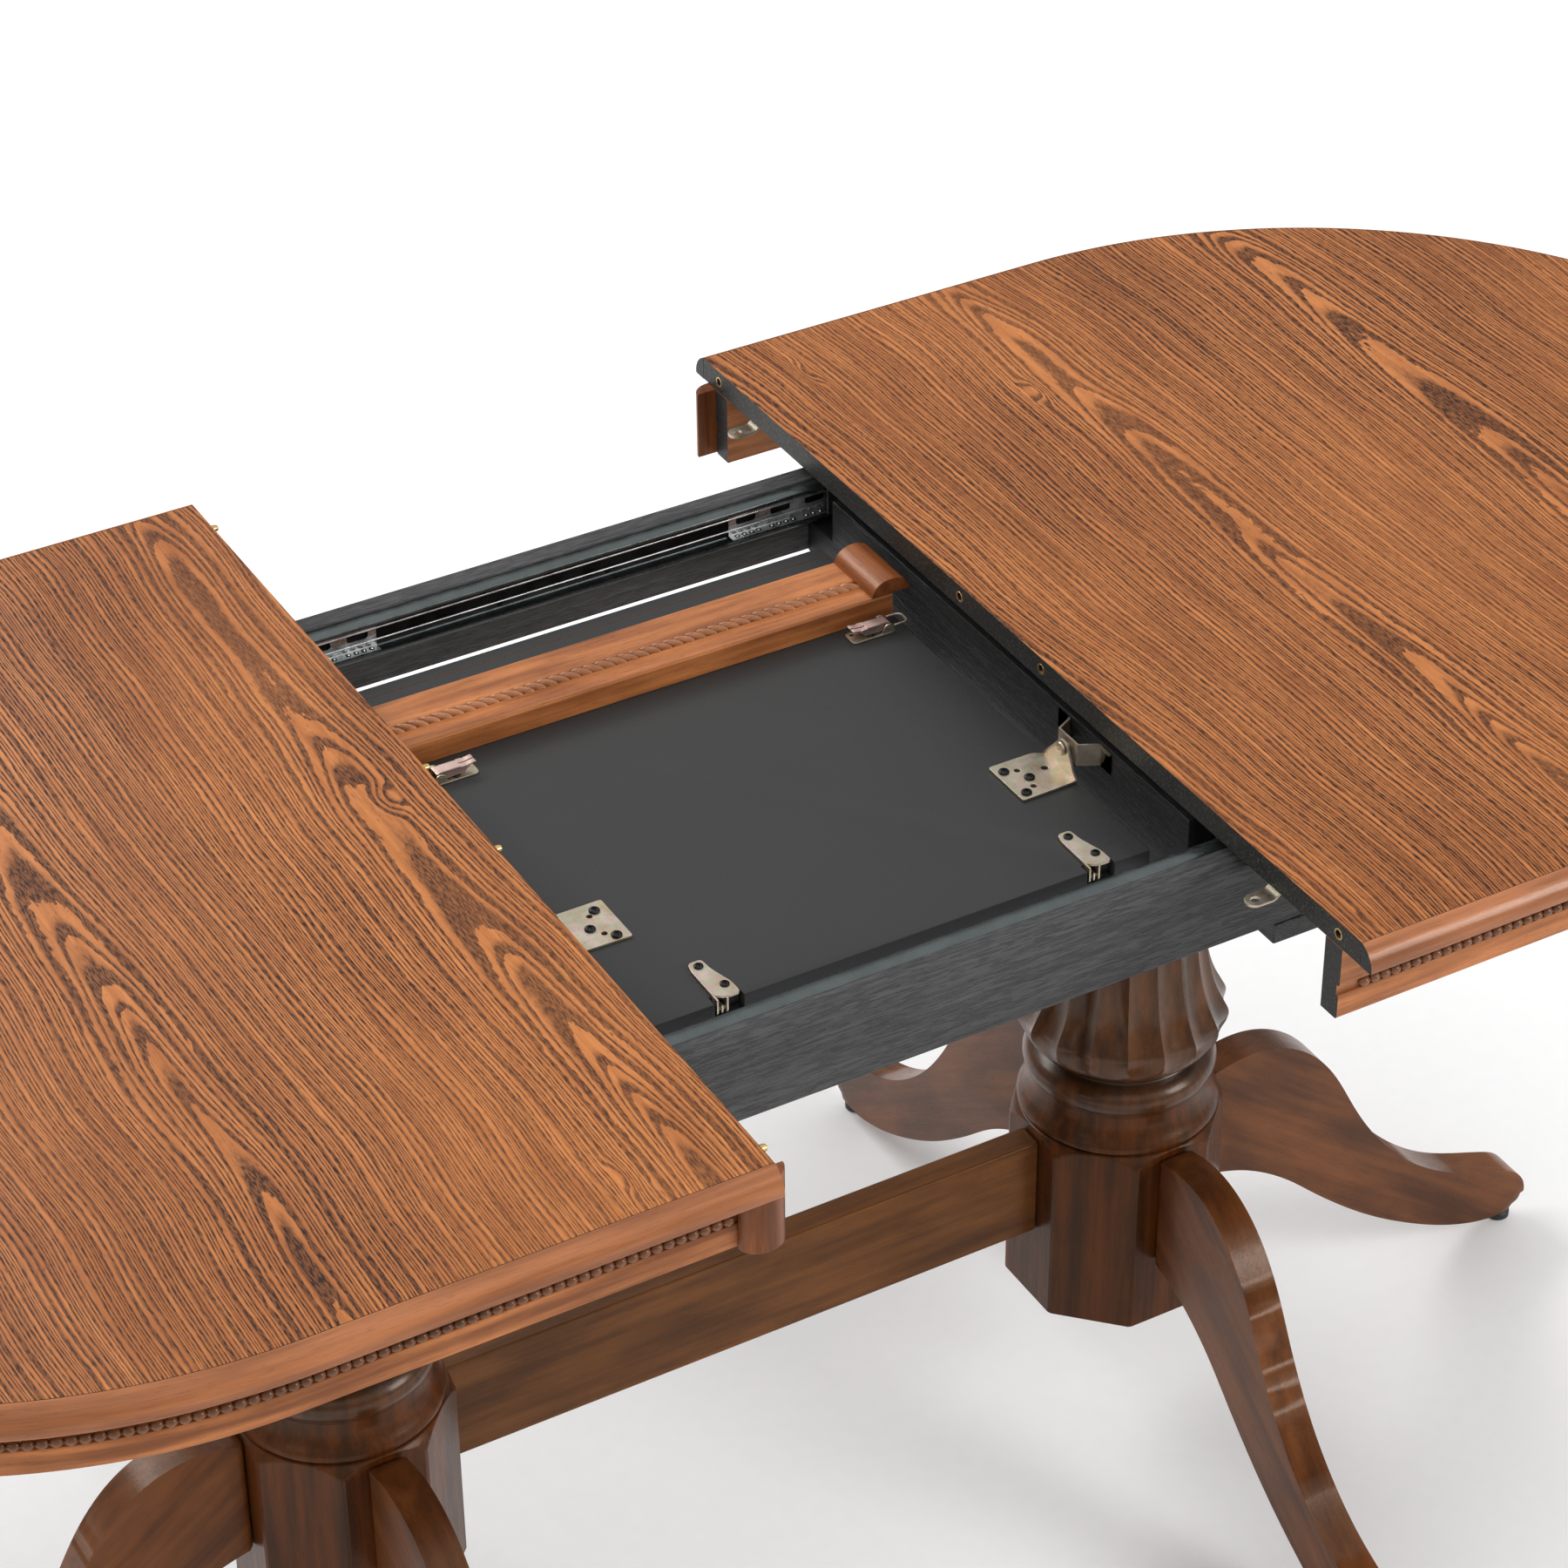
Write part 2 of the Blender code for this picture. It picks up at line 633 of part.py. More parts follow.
def make_pivot_bracket(label, end, body):
    """Hat-shaped bracket screwed to the cross rail, with the pin that carries the leaf."""
    foot, top, thin = 0.218 - GAP, 0.2035, 0.0015
    outline = [(end * top, PIVOT_Y + 0.014), (end * (foot - thin), PIVOT_Y + 0.020)]
    outline += [(end * (foot - thin), PIVOT_Y + 0.034), (end * foot, PIVOT_Y + 0.034)]
    outline += [(end * foot, PIVOT_Y + 0.0185), (end * (top + thin), PIVOT_Y + 0.0125)]
    outline += [(x, 2 * PIVOT_Y - y) for x, y in reversed(outline)]
    hat = prism(outline, down(0.0465), down(0.029))
    pivot_z = down(PIVOT_DEPTH)
    pin = cylinder((PIVOT_Y, pivot_z), 0.0030, end * 0.1975, end * (top + thin), along="x", steps=12)
    head = cylinder((PIVOT_Y, pivot_z), 0.0050, end * 0.1965, end * 0.1985, along="x", steps=12)
    finish(f"pivot_bracket_{label}", union(hat, pin, head), "yellow_zinc", body)


def make_fold_hinge(label, end, body):
    """Hinge plate on the upper panel, with the ear that drops into the recess at the fold."""
    base = down(LEAF_UNDERSIDE) + GAP
    middle = end * HINGE_X[label]
    plate = box((middle - HINGE_HALF_WIDTH, middle + HINGE_HALF_WIDTH), (-0.2214, -0.177), (base, base + 0.002))
    ear = box((middle - 0.006, middle + 0.006), (-0.2214, -0.2150), (base + 0.001, base - 0.0125))
    finish(f"fold_hinge_{label}", union(plate, ear), "yellow_zinc", body)


LATCH_PIVOT_X = 0.184
LATCH_PLACES = {"a": {"left": 0.098, "right": 0.106}, "b": {"left": 0.106, "right": 0.098}}


def latch_levels(upper):
    """Height of the panel face that a latch sits on, the pivot's height, and which way is up for it."""
    underside, _, facing = panel_box(upper)
    face = down(underside)
    return face, face + facing * 0.006, facing


def make_latch(label, upper, end_label, end, body, handle_body):
    """Toggle latch: a base with two ears and a bail, and the lever that turns in it."""
    face, pin_z, facing = latch_levels(upper)
    middle = LATCH_PLACES[label][end_label]
    base = face + facing * GAP
    half = 0.0075
    plate = box((end * 0.154, end * 0.190), (middle - half, middle + half), (base, base + facing * 0.0015))
    pieces = [plate]
    for turn in (-1, 1):
        ear_y = (middle + turn * (half - 0.0015), middle + turn * half)
        pieces.append(box((end * 0.178, end * 0.190), ear_y, (base, base + facing * 0.0085)))
    bail_z = (pin_z - facing * 0.001, pin_z + facing * 0.001)
    bail = box((end * 0.1885, end * 0.2020), (middle - half, middle + half), bail_z)
    bail = cut(bail, box((end * 0.187, end * 0.1995), (middle - half + 0.0025, middle + half - 0.0025),
                         (bail_z[0] - facing * 0.002, bail_z[1] + facing * 0.002)))
    pieces.append(bail)
    finish(f"latch_base_{label}_{end_label}", union(*pieces), "yellow_zinc", body)

    wall, side_y = 0.0012, 0.0052
    low, high = pin_z - facing * 0.003, pin_z + facing * 0.003
    roof = high - facing * wall
    section = [
        (middle - side_y, low), (middle - side_y, high), (middle + side_y, high), (middle + side_y, low),
        (middle + side_y - wall, low), (middle + side_y - wall, roof), (middle - side_y + wall, roof),
        (middle - side_y + wall, low),
    ]
    lever = prism(section, *sorted((end * 0.161, end * 0.1864)), along="x")
    crown = high + facing * 0.001
    width = (middle - side_y, middle + side_y)
    tail = box((end * 0.155, end * 0.162), width, (crown, high - facing * 0.0002))
    ramp = box((end * 0.1605, end * 0.1625), width, (crown, roof))
    finish(f"latch_handle_{label}_{end_label}", union(lever, ramp, tail), "yellow_zinc", handle_body)


def make_leaf(base):
    """The folded leaf: panel a hangs on the pivots, panel b folds on panel a."""
    leaf_a = pivot("leaf_a", (0.0, PIVOT_Y, down(PIVOT_DEPTH)), base)
    leaf_b = pivot("leaf_b", (0.0, FOLD_Y, down(FOLD_DEPTH)), leaf_a)
    hinge_y = FOLD_Y + APRON_OUTER - APRON_THICKNESS
    for label, upper, body in (("a", True, leaf_a), ("b", False, leaf_b)):
        make_leaf_panel(label, upper, body)
        underside, _, facing = panel_box(upper)
        apron_body = pivot(f"apron_{label}", (0.0, hinge_y, down(underside) + facing * GAP), body)
        make_leaf_apron(label, upper, apron_body)
        _, pin_z, _ = latch_levels(upper)
        for end_label, end in ENDS.items():
            spot = (end * LATCH_PIVOT_X, LATCH_PLACES[label][end_label], pin_z)
            handle = pivot(f"latch_{label}_{end_label}", spot, body)
            make_latch(label, upper, end_label, end, body, handle)
    for end_label, end in ENDS.items():
        make_pivot_plate(end_label, end, leaf_a)
        make_fold_hinge(end_label, end, leaf_a)
        make_pivot_bracket(end_label, end, base)


def make_table():
    base = pivot("base", (0.0, 0.0, 0.0))
    make_frame(base)
    make_stretcher(base)
    for side_label, side in SIDES.items():
        make_outer_slide(side_label, side, base)
        make_cable(side_label, side, base)
    for label, end in ENDS.items():
        make_pedestal(label, end, base)
        make_legs(label, end, base)
        half = pivot(f"half_{label}", (end * SEAM_OPEN, 0.0, TABLE_HEIGHT), base)
        make_top(label, end, half)
        make_apron(label, end, half)
        make_tabs(label, end, half)
        for side_label, side in SIDES.items():
            make_member(label, side_label, end, side, half)
            cage = pivot(f"cage_body_{label}_{side_label}", (end * 0.297, side * 0.2685, down(0.042)), base)
            make_cage(label, side_label, end, side, cage)
    make_leaf(base)


clear_scene()
make_table()
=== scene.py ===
import math

import bmesh
import bpy
from mathutils import Matrix, Vector


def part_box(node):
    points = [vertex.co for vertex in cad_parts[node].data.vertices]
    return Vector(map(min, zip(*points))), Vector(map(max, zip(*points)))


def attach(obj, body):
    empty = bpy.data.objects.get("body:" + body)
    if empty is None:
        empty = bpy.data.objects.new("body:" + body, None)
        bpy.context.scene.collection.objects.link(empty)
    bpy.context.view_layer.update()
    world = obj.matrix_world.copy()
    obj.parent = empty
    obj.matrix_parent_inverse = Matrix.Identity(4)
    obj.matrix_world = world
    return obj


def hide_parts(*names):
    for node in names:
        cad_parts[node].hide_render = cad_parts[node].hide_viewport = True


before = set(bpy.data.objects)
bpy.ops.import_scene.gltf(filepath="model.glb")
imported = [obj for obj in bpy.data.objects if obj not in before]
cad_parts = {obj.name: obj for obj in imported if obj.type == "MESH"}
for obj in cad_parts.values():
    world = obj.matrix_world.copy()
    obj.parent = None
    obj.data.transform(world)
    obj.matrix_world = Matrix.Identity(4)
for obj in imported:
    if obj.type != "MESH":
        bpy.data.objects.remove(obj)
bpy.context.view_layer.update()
SIDES = {"near": -1, "far": 1}
ENDS = {"left": -1, "right": 1}


# ---- Floor, light and camera -------------------------------------------------------------------
# A plain pale floor, a bright even room, and soft boxes above: one behind the table whose
# reflection runs along the mouldings, one on the near side for the legs and columns.

class Signal:
    """One output in a finish's node tree; Python's operators on it add Math nodes."""

    def __init__(self, finish, socket):
        self.finish = finish
        self.socket = socket

    def maths(self, operation, *others):
        values = dict(enumerate((self, *others)))
        return self.finish.add("Math", {"operation": operation}, values)

    def __add__(self, other):
        return self.maths("ADD", other)

    def __sub__(self, other):
        return self.maths("SUBTRACT", other)

    def __mul__(self, other):
        return self.maths("MULTIPLY", other)

    def __truediv__(self, other):
        return self.maths("DIVIDE", other)

    def __radd__(self, other):
        return self.maths("ADD", other)

    def __rmul__(self, other):
        return self.maths("MULTIPLY", other)

    def __rsub__(self, other):
        return self.finish.add("Math", {"operation": "SUBTRACT"}, {0: other, 1: self})


class Finish:
    """A procedural material, built node by node."""

    def __init__(self, name, **shader_values):
        self.material = bpy.data.materials.new(name)
        self.material.use_nodes = True
        self.tree = self.material.node_tree
        self.shader = self.tree.nodes["Principled BSDF"]
        for key, value in shader_values.items():
            self.shader.inputs[key.replace("_", " ").title()].default_value = value

    def add(self, kind, settings=None, sockets=None, output=0):
        node = self.tree.nodes.new("ShaderNode" + kind)
        for key, value in (settings or {}).items():
            if key == "stops":
                set_stops(node.color_ramp, value)
            else:
                setattr(node, key, value)
        for key, value in (sockets or {}).items():
            if isinstance(value, Signal):
                self.tree.links.new(value.socket, node.inputs[key])
            else:
                node.inputs[key].default_value = value
        return Signal(self, node.outputs[output])

    def feed(self, key, signal):
        self.tree.links.new(signal.socket, self.shader.inputs[key])

    def place(self):
        return self.add("TexCoord", output="Object")

    def noise(self, place, stretch, detail=2.0, rough=0.5):
        """Noise with its own number of cells per metre along each axis, from about 0 to 1."""
        scaled = self.add("VectorMath", {"operation": "MULTIPLY"}, {0: place, 1: stretch})
        sockets = {"Vector": scaled, "Scale": 1.0, "Detail": detail, "Roughness": rough}
        return self.add("TexNoise", None, sockets)

    def step(self, value, start, stop, low=0.0, high=1.0):
        """Smooth step from low to high as value goes from start to stop."""
        sockets = {0: value, 1: start, 2: stop, 3: low, 4: high}
        return self.add("MapRange", {"interpolation_type": "SMOOTHSTEP"}, sockets)

    def mix(self, factor, first, second, mode="MIX"):
        settings = {"data_type": "RGBA", "blend_type": mode}
        return self.add("Mix", settings, {0: factor, 6: first, 7: second}, 2)

    def bump(self, height, distance, strength=1.0):
        sockets = {"Height": height, "Distance": distance, "Strength": strength}
        self.feed("Normal", self.add("Bump", None, sockets))


def set_stops(ramp, stops):
    while len(ramp.elements) < len(stops):
        ramp.elements.new(0.5)
    for element, (spot, colour) in zip(ramp.elements, stops):
        element.position = spot
        element.color = colour


def paint(red, green, blue):
    """A colour as a paint chart gives it, 0 to 255, as linear light."""
    linear = []
    for value in (red, green, blue):
        part = value / 255
        linear.append(part / 12.92 if part <= 0.04045 else ((part + 0.055) / 1.055) ** 2.4)
    return (*linear, 1.0)


def toned(colour, factor):
    """A colour made darker or paler, still opaque."""
    return (*(value * factor for value in colour[:3]), 1.0)


def greys(*stops):
    """Ramp stops of (position, grey)."""
    return [(spot, (value, value, value, 1.0)) for spot, value in stops]


FLOOR_SIZE = 40.0
floor_mesh = bpy.data.meshes.new("floor")
corners = [(-FLOOR_SIZE, -FLOOR_SIZE, 0), (FLOOR_SIZE, -FLOOR_SIZE, 0), (FLOOR_SIZE, FLOOR_SIZE, 0),
           (-FLOOR_SIZE, FLOOR_SIZE, 0)]
floor_mesh.from_pydata(corners, [], [(0, 1, 2, 3)])
floor = bpy.data.objects.new("floor", floor_mesh)
bpy.context.scene.collection.objects.link(floor)
floor_finish = Finish("pale_floor", roughness=0.9)
speckle = floor_finish.noise(floor_finish.place(), (60, 60, 60))
floor_finish.feed("Base Color", floor_finish.mix(speckle, paint(246, 246, 246), paint(250, 250, 250)))
floor_mesh.materials.append(floor_finish.material)

world = bpy.data.worlds.new("room")
bpy.context.scene.world = world
world.use_nodes = True
sky = world.node_tree
height = sky.nodes.new("ShaderNodeSeparateXYZ")
sky.links.new(sky.nodes.new("ShaderNodeTexCoord").outputs["Generated"], height.inputs[0])
dome_light = sky.nodes.new("ShaderNodeValToRGB")
set_stops(dome_light.color_ramp, greys((0.0, 0.30), (0.28, 0.34), (0.60, 0.95), (1.0, 1.15)))
sky.links.new(height.outputs["Z"], dome_light.inputs[0])
sky.links.new(dome_light.outputs["Color"], sky.nodes["Background"].inputs["Color"])
bpy.context.scene.view_settings.view_transform = "Standard"


def soft_box(name, spot, target, size, power):
    light = bpy.data.lights.new(name, "AREA")
    light.shape = "RECTANGLE"
    light.size, light.size_y = size
    light.energy = power
    item = bpy.data.objects.new(name, light)
    bpy.context.scene.collection.objects.link(item)
    item.location = spot
    item.rotation_mode = "QUATERNION"
    item.rotation_quaternion = (Vector(target) - Vector(spot)).to_track_quat("-Z", "Y")


soft_box("box_behind", (-1.2, 3.2, 3.0), (0, 0, 0.6), (3.0, 1.0), 75)
soft_box("box_near", (2.6, -3.0, 2.2), (0.3, 0, 0.4), (1.4, 1.4), 65)
soft_box("box_left", (-3.2, -1.2, 2.4), (0, 0, 0.6), (1.2, 2.2), 16)

AZIMUTH, ELEVATION, ROLL = (math.radians(value) for value in (-29.41, 35.15, -0.51))
LENS, SENSOR = 101.02, 36.0
camera_data = bpy.data.cameras.new("camera")
camera_data.lens = LENS
camera_data.sensor_width = SENSOR
camera_data.clip_end = 100.0
camera = bpy.data.objects.new("camera", camera_data)
bpy.context.scene.collection.objects.link(camera)
back = Vector((math.sin(AZIMUTH) * math.cos(ELEVATION), -math.cos(AZIMUTH) * math.cos(ELEVATION),
               math.sin(ELEVATION)))
right = Vector((math.cos(AZIMUTH), math.sin(AZIMUTH), 0.0))
up = back.cross(right)
tilted_right = right * math.cos(ROLL) + up * math.sin(ROLL)
tilted_up = up * math.cos(ROLL) - right * math.sin(ROLL)
camera.matrix_world = Matrix((
    (tilted_right.x, tilted_up.x, back.x, -1.2080), (tilted_right.y, tilted_up.y, back.y, -2.2120),
    (tilted_right.z, tilted_up.z, back.z, 2.4895), (0.0, 0.0, 0.0, 1.0)))
bpy.context.scene.camera = camera


# ---- Pedestals ---------------------------------------------------------------------------------
# Each pedestal is one laminated hardwood blank: a turned and fluted vase over a ring and a bell
# collar, left octagonal below. Stained dark brown and lacquered glossy; the coves are darkened as painted
# shade.

def stained_wood(name, light, dark, gloss=0.55, cove_shade=None, mottle=0.5, pore_depth=0.35):
    """Close-grained stained hardwood; the grain attribute's first value runs along the grain."""
    finish = Finish(name)
    grain = finish.add("Attribute", {"attribute_name": "grain"}, output="Vector")
    streak = finish.noise(grain, (5, 95, 95), 4.0, 0.6)
    cloud = finish.noise(grain, (9, 22, 22), 3.0, 0.55)
    fibre = finish.noise(grain, (38, 900, 900), 3.0, 0.6)
    pores = finish.step(finish.noise(grain, (95, 1300, 1300), 2.0, 0.5), 0.60, 0.70)
    tone = streak * (1 - mottle) + cloud * mottle
    colour = finish.mix(finish.step(tone, 0.33, 0.68), dark, light)
    colour = finish.mix(finish.step(fibre, 0.3, 0.75) * 0.22, colour, dark)
    colour = finish.mix(pores * pore_depth, colour, toned(dark, 0.35))
    # Painted shade: a ramp on height darkens the bands where the turned coves sit.
    if cove_shade:
        height = finish.place()
        height = finish.add("SeparateXYZ", None, {0: height}, "Z")
        shade = finish.add("ValToRGB", {"stops": cove_shade}, {0: height})
        colour = finish.mix(shade, colour, toned(dark, 0.16))
    finish.feed("Base Color", colour)
    finish.feed("Roughness", finish.step(fibre, 0.2, 0.8, 0.26, 0.40))
    peel = finish.noise(finish.place(), (420, 420, 420), 1.0)
    finish.bump(peel * 0.7 + fibre * 0.25 - pores * 0.5, 0.00022, 0.6)
    finish.shader.inputs["Coat Weight"].default_value = gloss * 0.5
    finish.shader.inputs["Coat Roughness"].default_value = 0.2
    finish.shader.inputs["Specular IOR Level"].default_value = 0.25
    finish.shader.inputs["Specular Tint"].default_value = (0.95, 0.72, 0.50, 1.0)
    return finish.material


def along_axes(first, second, third, seed=0.0):
    """Grain direction for a straight piece: which world axis each grain value reads."""
    return lambda spot: (spot[first] + seed, spot[second] + seed * 0.7, spot[third])


def piece(name, shape, materials, body, nodes=(), ease=0.0, rounds=2, grain=None, smooth=32):
    """Finish a bmesh as a piece that rides on a body and stands for CAD nodes."""
    bmesh.ops.recalc_face_normals(shape, faces=shape.faces)
    mesh = bpy.data.meshes.new(name)
    shape.to_mesh(mesh)
    shape.free()
    for material in materials:
        mesh.materials.append(material)
    if grain:
        attribute = mesh.attributes.new("grain", "FLOAT_VECTOR", "POINT")
        values = []
        for vertex in mesh.vertices:
            values.extend(grain(vertex.co))
        attribute.data.foreach_set("vector", values)
    mesh.shade_smooth()
    mesh.set_sharp_from_angle(angle=math.radians(smooth))
    item = bpy.data.objects.new(name, mesh)
    bpy.context.scene.collection.objects.link(item)
    if ease:
        bevel = item.modifiers.new("eased", "BEVEL")
        bevel.width = ease
        bevel.segments = rounds
        bevel.limit_method = "ANGLE"
        bevel.angle_limit = math.radians(30)
        bevel.harden_normals = True
    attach(item, body)
    if nodes:
        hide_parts(*nodes)
    return item


def ring_shape(rings, closed_ends=True):
    """Skin equal rings of points in order, with an end face on the first and the last."""
    shape = bmesh.new()
    made = [[shape.verts.new(spot) for spot in ring] for ring in rings]
    count = len(rings[0])
    for one, two in zip(made, made[1:]):
        for k in range(count):
            nxt = (k + 1) % count
            shape.faces.new((one[k], one[nxt], two[nxt], two[k]))
    if closed_ends:
        shape.faces.new(made[0])
        shape.faces.new(made[-1])
    bmesh.ops.recalc_face_normals(shape, faces=shape.faces)
    return shape


def smooth_through(knots, steps):
    """Points of a Catmull-Rom curve through the knots."""
    padded = [knots[0]] + list(knots) + [knots[-1]]
    points = []
    for a, b, c, d in zip(padded, padded[1:], padded[2:], padded[3:]):
        for k in range(steps):
            t = k / steps
            point = []
            for p, q, r, s in zip(a, b, c, d):
                point.append(0.5 * (2 * q + (r - p) * t + (2 * p - 5 * q + 4 * r - s) * t * t
                                    + (3 * q - p - 3 * r + s) * t ** 3))
            points.append(tuple(point))
    points.append(tuple(knots[-1]))
    return points


def join_shapes(*shapes):
    """All the shapes in one bmesh, as separate shells."""
    whole = shapes[0]
    for shape in shapes[1:]:
        mesh = bpy.data.meshes.new("shell")
        shape.to_mesh(mesh)
        shape.free()
        whole.from_mesh(mesh)
        bpy.data.meshes.remove(mesh)
    return whole


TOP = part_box("top_right")[1].z
DARK_STAIN = paint(50, 26, 10)
# Heights of the turned coves, darkened as painted shade.
COLUMN_COVE_SHADE = greys((0.0, 0), (0.318, 0), (0.327, 0.75), (0.334, 0.15), (0.352, 0.1), (0.358, 0.85),
                     (0.366, 0.75), (0.374, 0.12), (0.40, 0))
column_wood = stained_wood("column_wood", paint(106, 62, 30), DARK_STAIN, 0.8, COLUMN_COVE_SHADE)
block_wood = stained_wood("block_wood", paint(100, 50, 16), DARK_STAIN, 0.2, mottle=0.35)
FLUTES = 18
POINTS_PER_FLUTE = 10
FACET_STEPS = 22
BLOCK_APOTHEM = 0.0795
CORNER_RADIUS = 0.0855
VASE = (
    # height, radius, flute depth
    (0.6727, 0.0755, 0), (0.660, 0.0760, 0), (0.655, 0.0740, 0), (0.652, 0.0680, 0), (0.645, 0.0590, 0),
    (0.636, 0.0545, 0),
    (0.628, 0.0535, 0.0015), (0.610, 0.0530, 0.0035), (0.540, 0.0550, 0.0035), (0.480, 0.0600, 0.004),
    (0.442, 0.0650, 0.0045), (0.418, 0.0710, 0.0045), (0.403, 0.0780, 0.0045), (0.393, 0.0828, 0.0042),
    (0.385, 0.0822, 0.0036),
    (0.378, 0.0795, 0.0022), (0.3745, 0.0772, 0.0004), (0.371, 0.0745, 0), (0.3665, 0.0705, 0),
    (0.364, 0.0685, 0),
)
COLLAR = (
    (0.3635, 0.0660), (0.3615, 0.0635), (0.359, 0.0640), (0.3565, 0.0675), (0.352, 0.0725), (0.347, 0.0752),
    (0.342, 0.0756),
    (0.337, 0.0740), (0.3335, 0.0718), (0.3315, 0.0712), (0.3300, 0.0700),
)
BELL = (
    (0.3318, 0.0690), (0.3310, 0.0702), (0.3270, 0.0704), (0.3210, 0.0712), (0.3140, 0.0740),
    (0.3080, 0.0776),
    (0.3050, 0.0790), (0.3025, 0.0793), (0.3010, 0.0786), (0.3002, 0.0768), (0.2994, 0.0772),
    (0.2985, 0.0792),
    (0.2950, 0.0822), (0.2910, 0.0846), (0.2870, 0.0864),
)


def turned_ring(centre, height, radius, depth=0.0):
    ring = []
    count = FLUTES * POINTS_PER_FLUTE
    for k in range(count):
        angle = math.tau * k / count
        within = (k % POINTS_PER_FLUTE) / POINTS_PER_FLUTE
        reach = radius - depth * math.sin(math.pi * within) ** 0.8
        ring.append((centre + reach * math.cos(angle), reach * math.sin(angle), height))
    return ring


def clipped_ring(centre, height, radius, apothem):
    """Turned ring cut back to the flats of an octagon."""
    ring = []
    count = 8 * FACET_STEPS
    for k in range(count):
        angle = math.tau * (k + 0.5) / count
        off_flat = (angle + math.pi / 8) % (math.pi / 4) - math.pi / 8
        reach = min(radius, apothem / math.cos(off_flat))
        ring.append((centre + reach * math.cos(angle), reach * math.sin(angle), height))
    return ring


for label, end in ENDS.items():
    low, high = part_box(f"leg_{label}_near")
    pedestal_x = (low.x + high.x) / 2
    rings = [turned_ring(pedestal_x, *knot) for knot in smooth_through(VASE, 3)]
    rings += [turned_ring(pedestal_x, *knot) for knot in smooth_through(COLLAR, 2)]
    block_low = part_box(f"pedestal_{label}")[0].z
    levels = [(height, radius, BLOCK_APOTHEM) for height, radius in smooth_through(BELL, 8)]
    levels += [(height, CORNER_RADIUS, BLOCK_APOTHEM) for height in (0.2860, 0.22, 0.17, block_low + 0.0015)]
    levels.append((block_low, CORNER_RADIUS - 0.0015, BLOCK_APOTHEM - 0.0015))
    block = ring_shape([clipped_ring(pedestal_x, *level) for level in levels])
    upright = along_axes(2, 0, 1, 0.37 * end)
    piece(f"column_{label}", ring_shape(rings), [column_wood], "base", [f"pedestal_{label}"],
          grain=upright, smooth=50)
    piece(f"block_{label}", block, [block_wood], "base", grain=upright, smooth=17)


# ---- Legs --------------------------------------------------------------------------------------
# Six swept legs sawn from 29 mm stock with rounded edges, dowelled to the blocks' faces. The grain
# runs down each leg, and a black plastic glide is nailed under each toe.

def soft_plastic(name, colour, rough=0.5):
    finish = Finish(name)
    spots = finish.noise(finish.place(), (900, 900, 900), 2.0)
    finish.feed("Base Color", finish.mix(spots, colour, toned(colour, 1.6)))
    finish.feed("Roughness", finish.step(spots, 0.2, 0.8, rough - 0.08, rough + 0.1))
    finish.bump(spots, 0.0001, 0.3)
    return finish.material


def turned_about(centre, profile, axis="z", steps=24):
    """Turn (radius, level) points about a line through the centre along an axis."""
    rings = []
    for radius, level in profile:
        ring = []
        for k in range(steps):
            a = math.tau * k / steps
            u, v = radius * math.cos(a), radius * math.sin(a)
            spot = {"z": (u, v, level), "x": (level, u, v), "y": (u, level, v)}[axis]
            ring.append(tuple(c + s for c, s in zip(centre, spot)))
        rings.append(ring)
    return ring_shape(rings)


LEG_TOP = (
    (0.0798, 0.293), (0.112, 0.3005), (0.145, 0.296), (0.177, 0.277), (0.205, 0.242), (0.232, 0.189),
    (0.270, 0.135), (0.321, 0.092), (0.377, 0.069), (0.405, 0.057), (0.418, 0.037), (0.415, 0.013),
)
LEG_UNDERSIDE = (
    (0.386, 0.013), (0.355, 0.020), (0.313, 0.037), (0.254, 0.072), (0.199, 0.117), (0.160, 0.154),
    (0.118, 0.181), (0.0798, 0.192),
)
leg_wood = stained_wood("leg_wood", paint(124, 72, 36), paint(72, 37, 16), 0.4, mottle=0.6)
glide_plastic = soft_plastic("glide_plastic", (0.012, 0.012, 0.013, 1.0))
leg_outline = smooth_through(LEG_TOP, 8) + smooth_through(LEG_UNDERSIDE, 8)
for _ in range(12):
    eased = [((a[0] + 2 * b[0] + c[0]) / 4, (a[1] + 2 * b[1] + c[1]) / 4)
             for a, b, c in zip(leg_outline, leg_outline[1:], leg_outline[2:])]
    leg_outline = [leg_outline[0]] + eased + [leg_outline[-1]]
half_leg = (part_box("leg_left_near")[1].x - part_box("leg_left_near")[0].x) / 2
EDGE_ROUND = 0.0055
GLIDE_REACH, GLIDE_RADIUS = 0.403, 0.010
GLIDE_PROFILE = ((GLIDE_RADIUS - 0.001, 0.0), (GLIDE_RADIUS, 0.001), (GLIDE_RADIUS, 0.006),
                 (GLIDE_RADIUS - 0.0015, 0.0075), (0.0055, 0.009), (0.0055, 0.015))


def leg_blank():
    """The leg along +X from the pedestal's axis, its long edges rounded over."""
    shape = bmesh.new()
    rings = []
    for level in (-half_leg, half_leg):
        rings.append([shape.verts.new((x, level, z)) for x, z in leg_outline])
    count = len(leg_outline)
    rims = []
    for k in range(count):
        nxt = (k + 1) % count
        shape.faces.new((rings[0][k], rings[1][k], rings[1][nxt], rings[0][nxt]))
    rims += list(shape.faces.new(rings[0]).edges)
    rims += list(shape.faces.new(rings[1]).edges)
    bmesh.ops.bevel(shape, geom=rims, offset=EDGE_ROUND, segments=5, profile=0.5, affect="EDGES")
    return shape


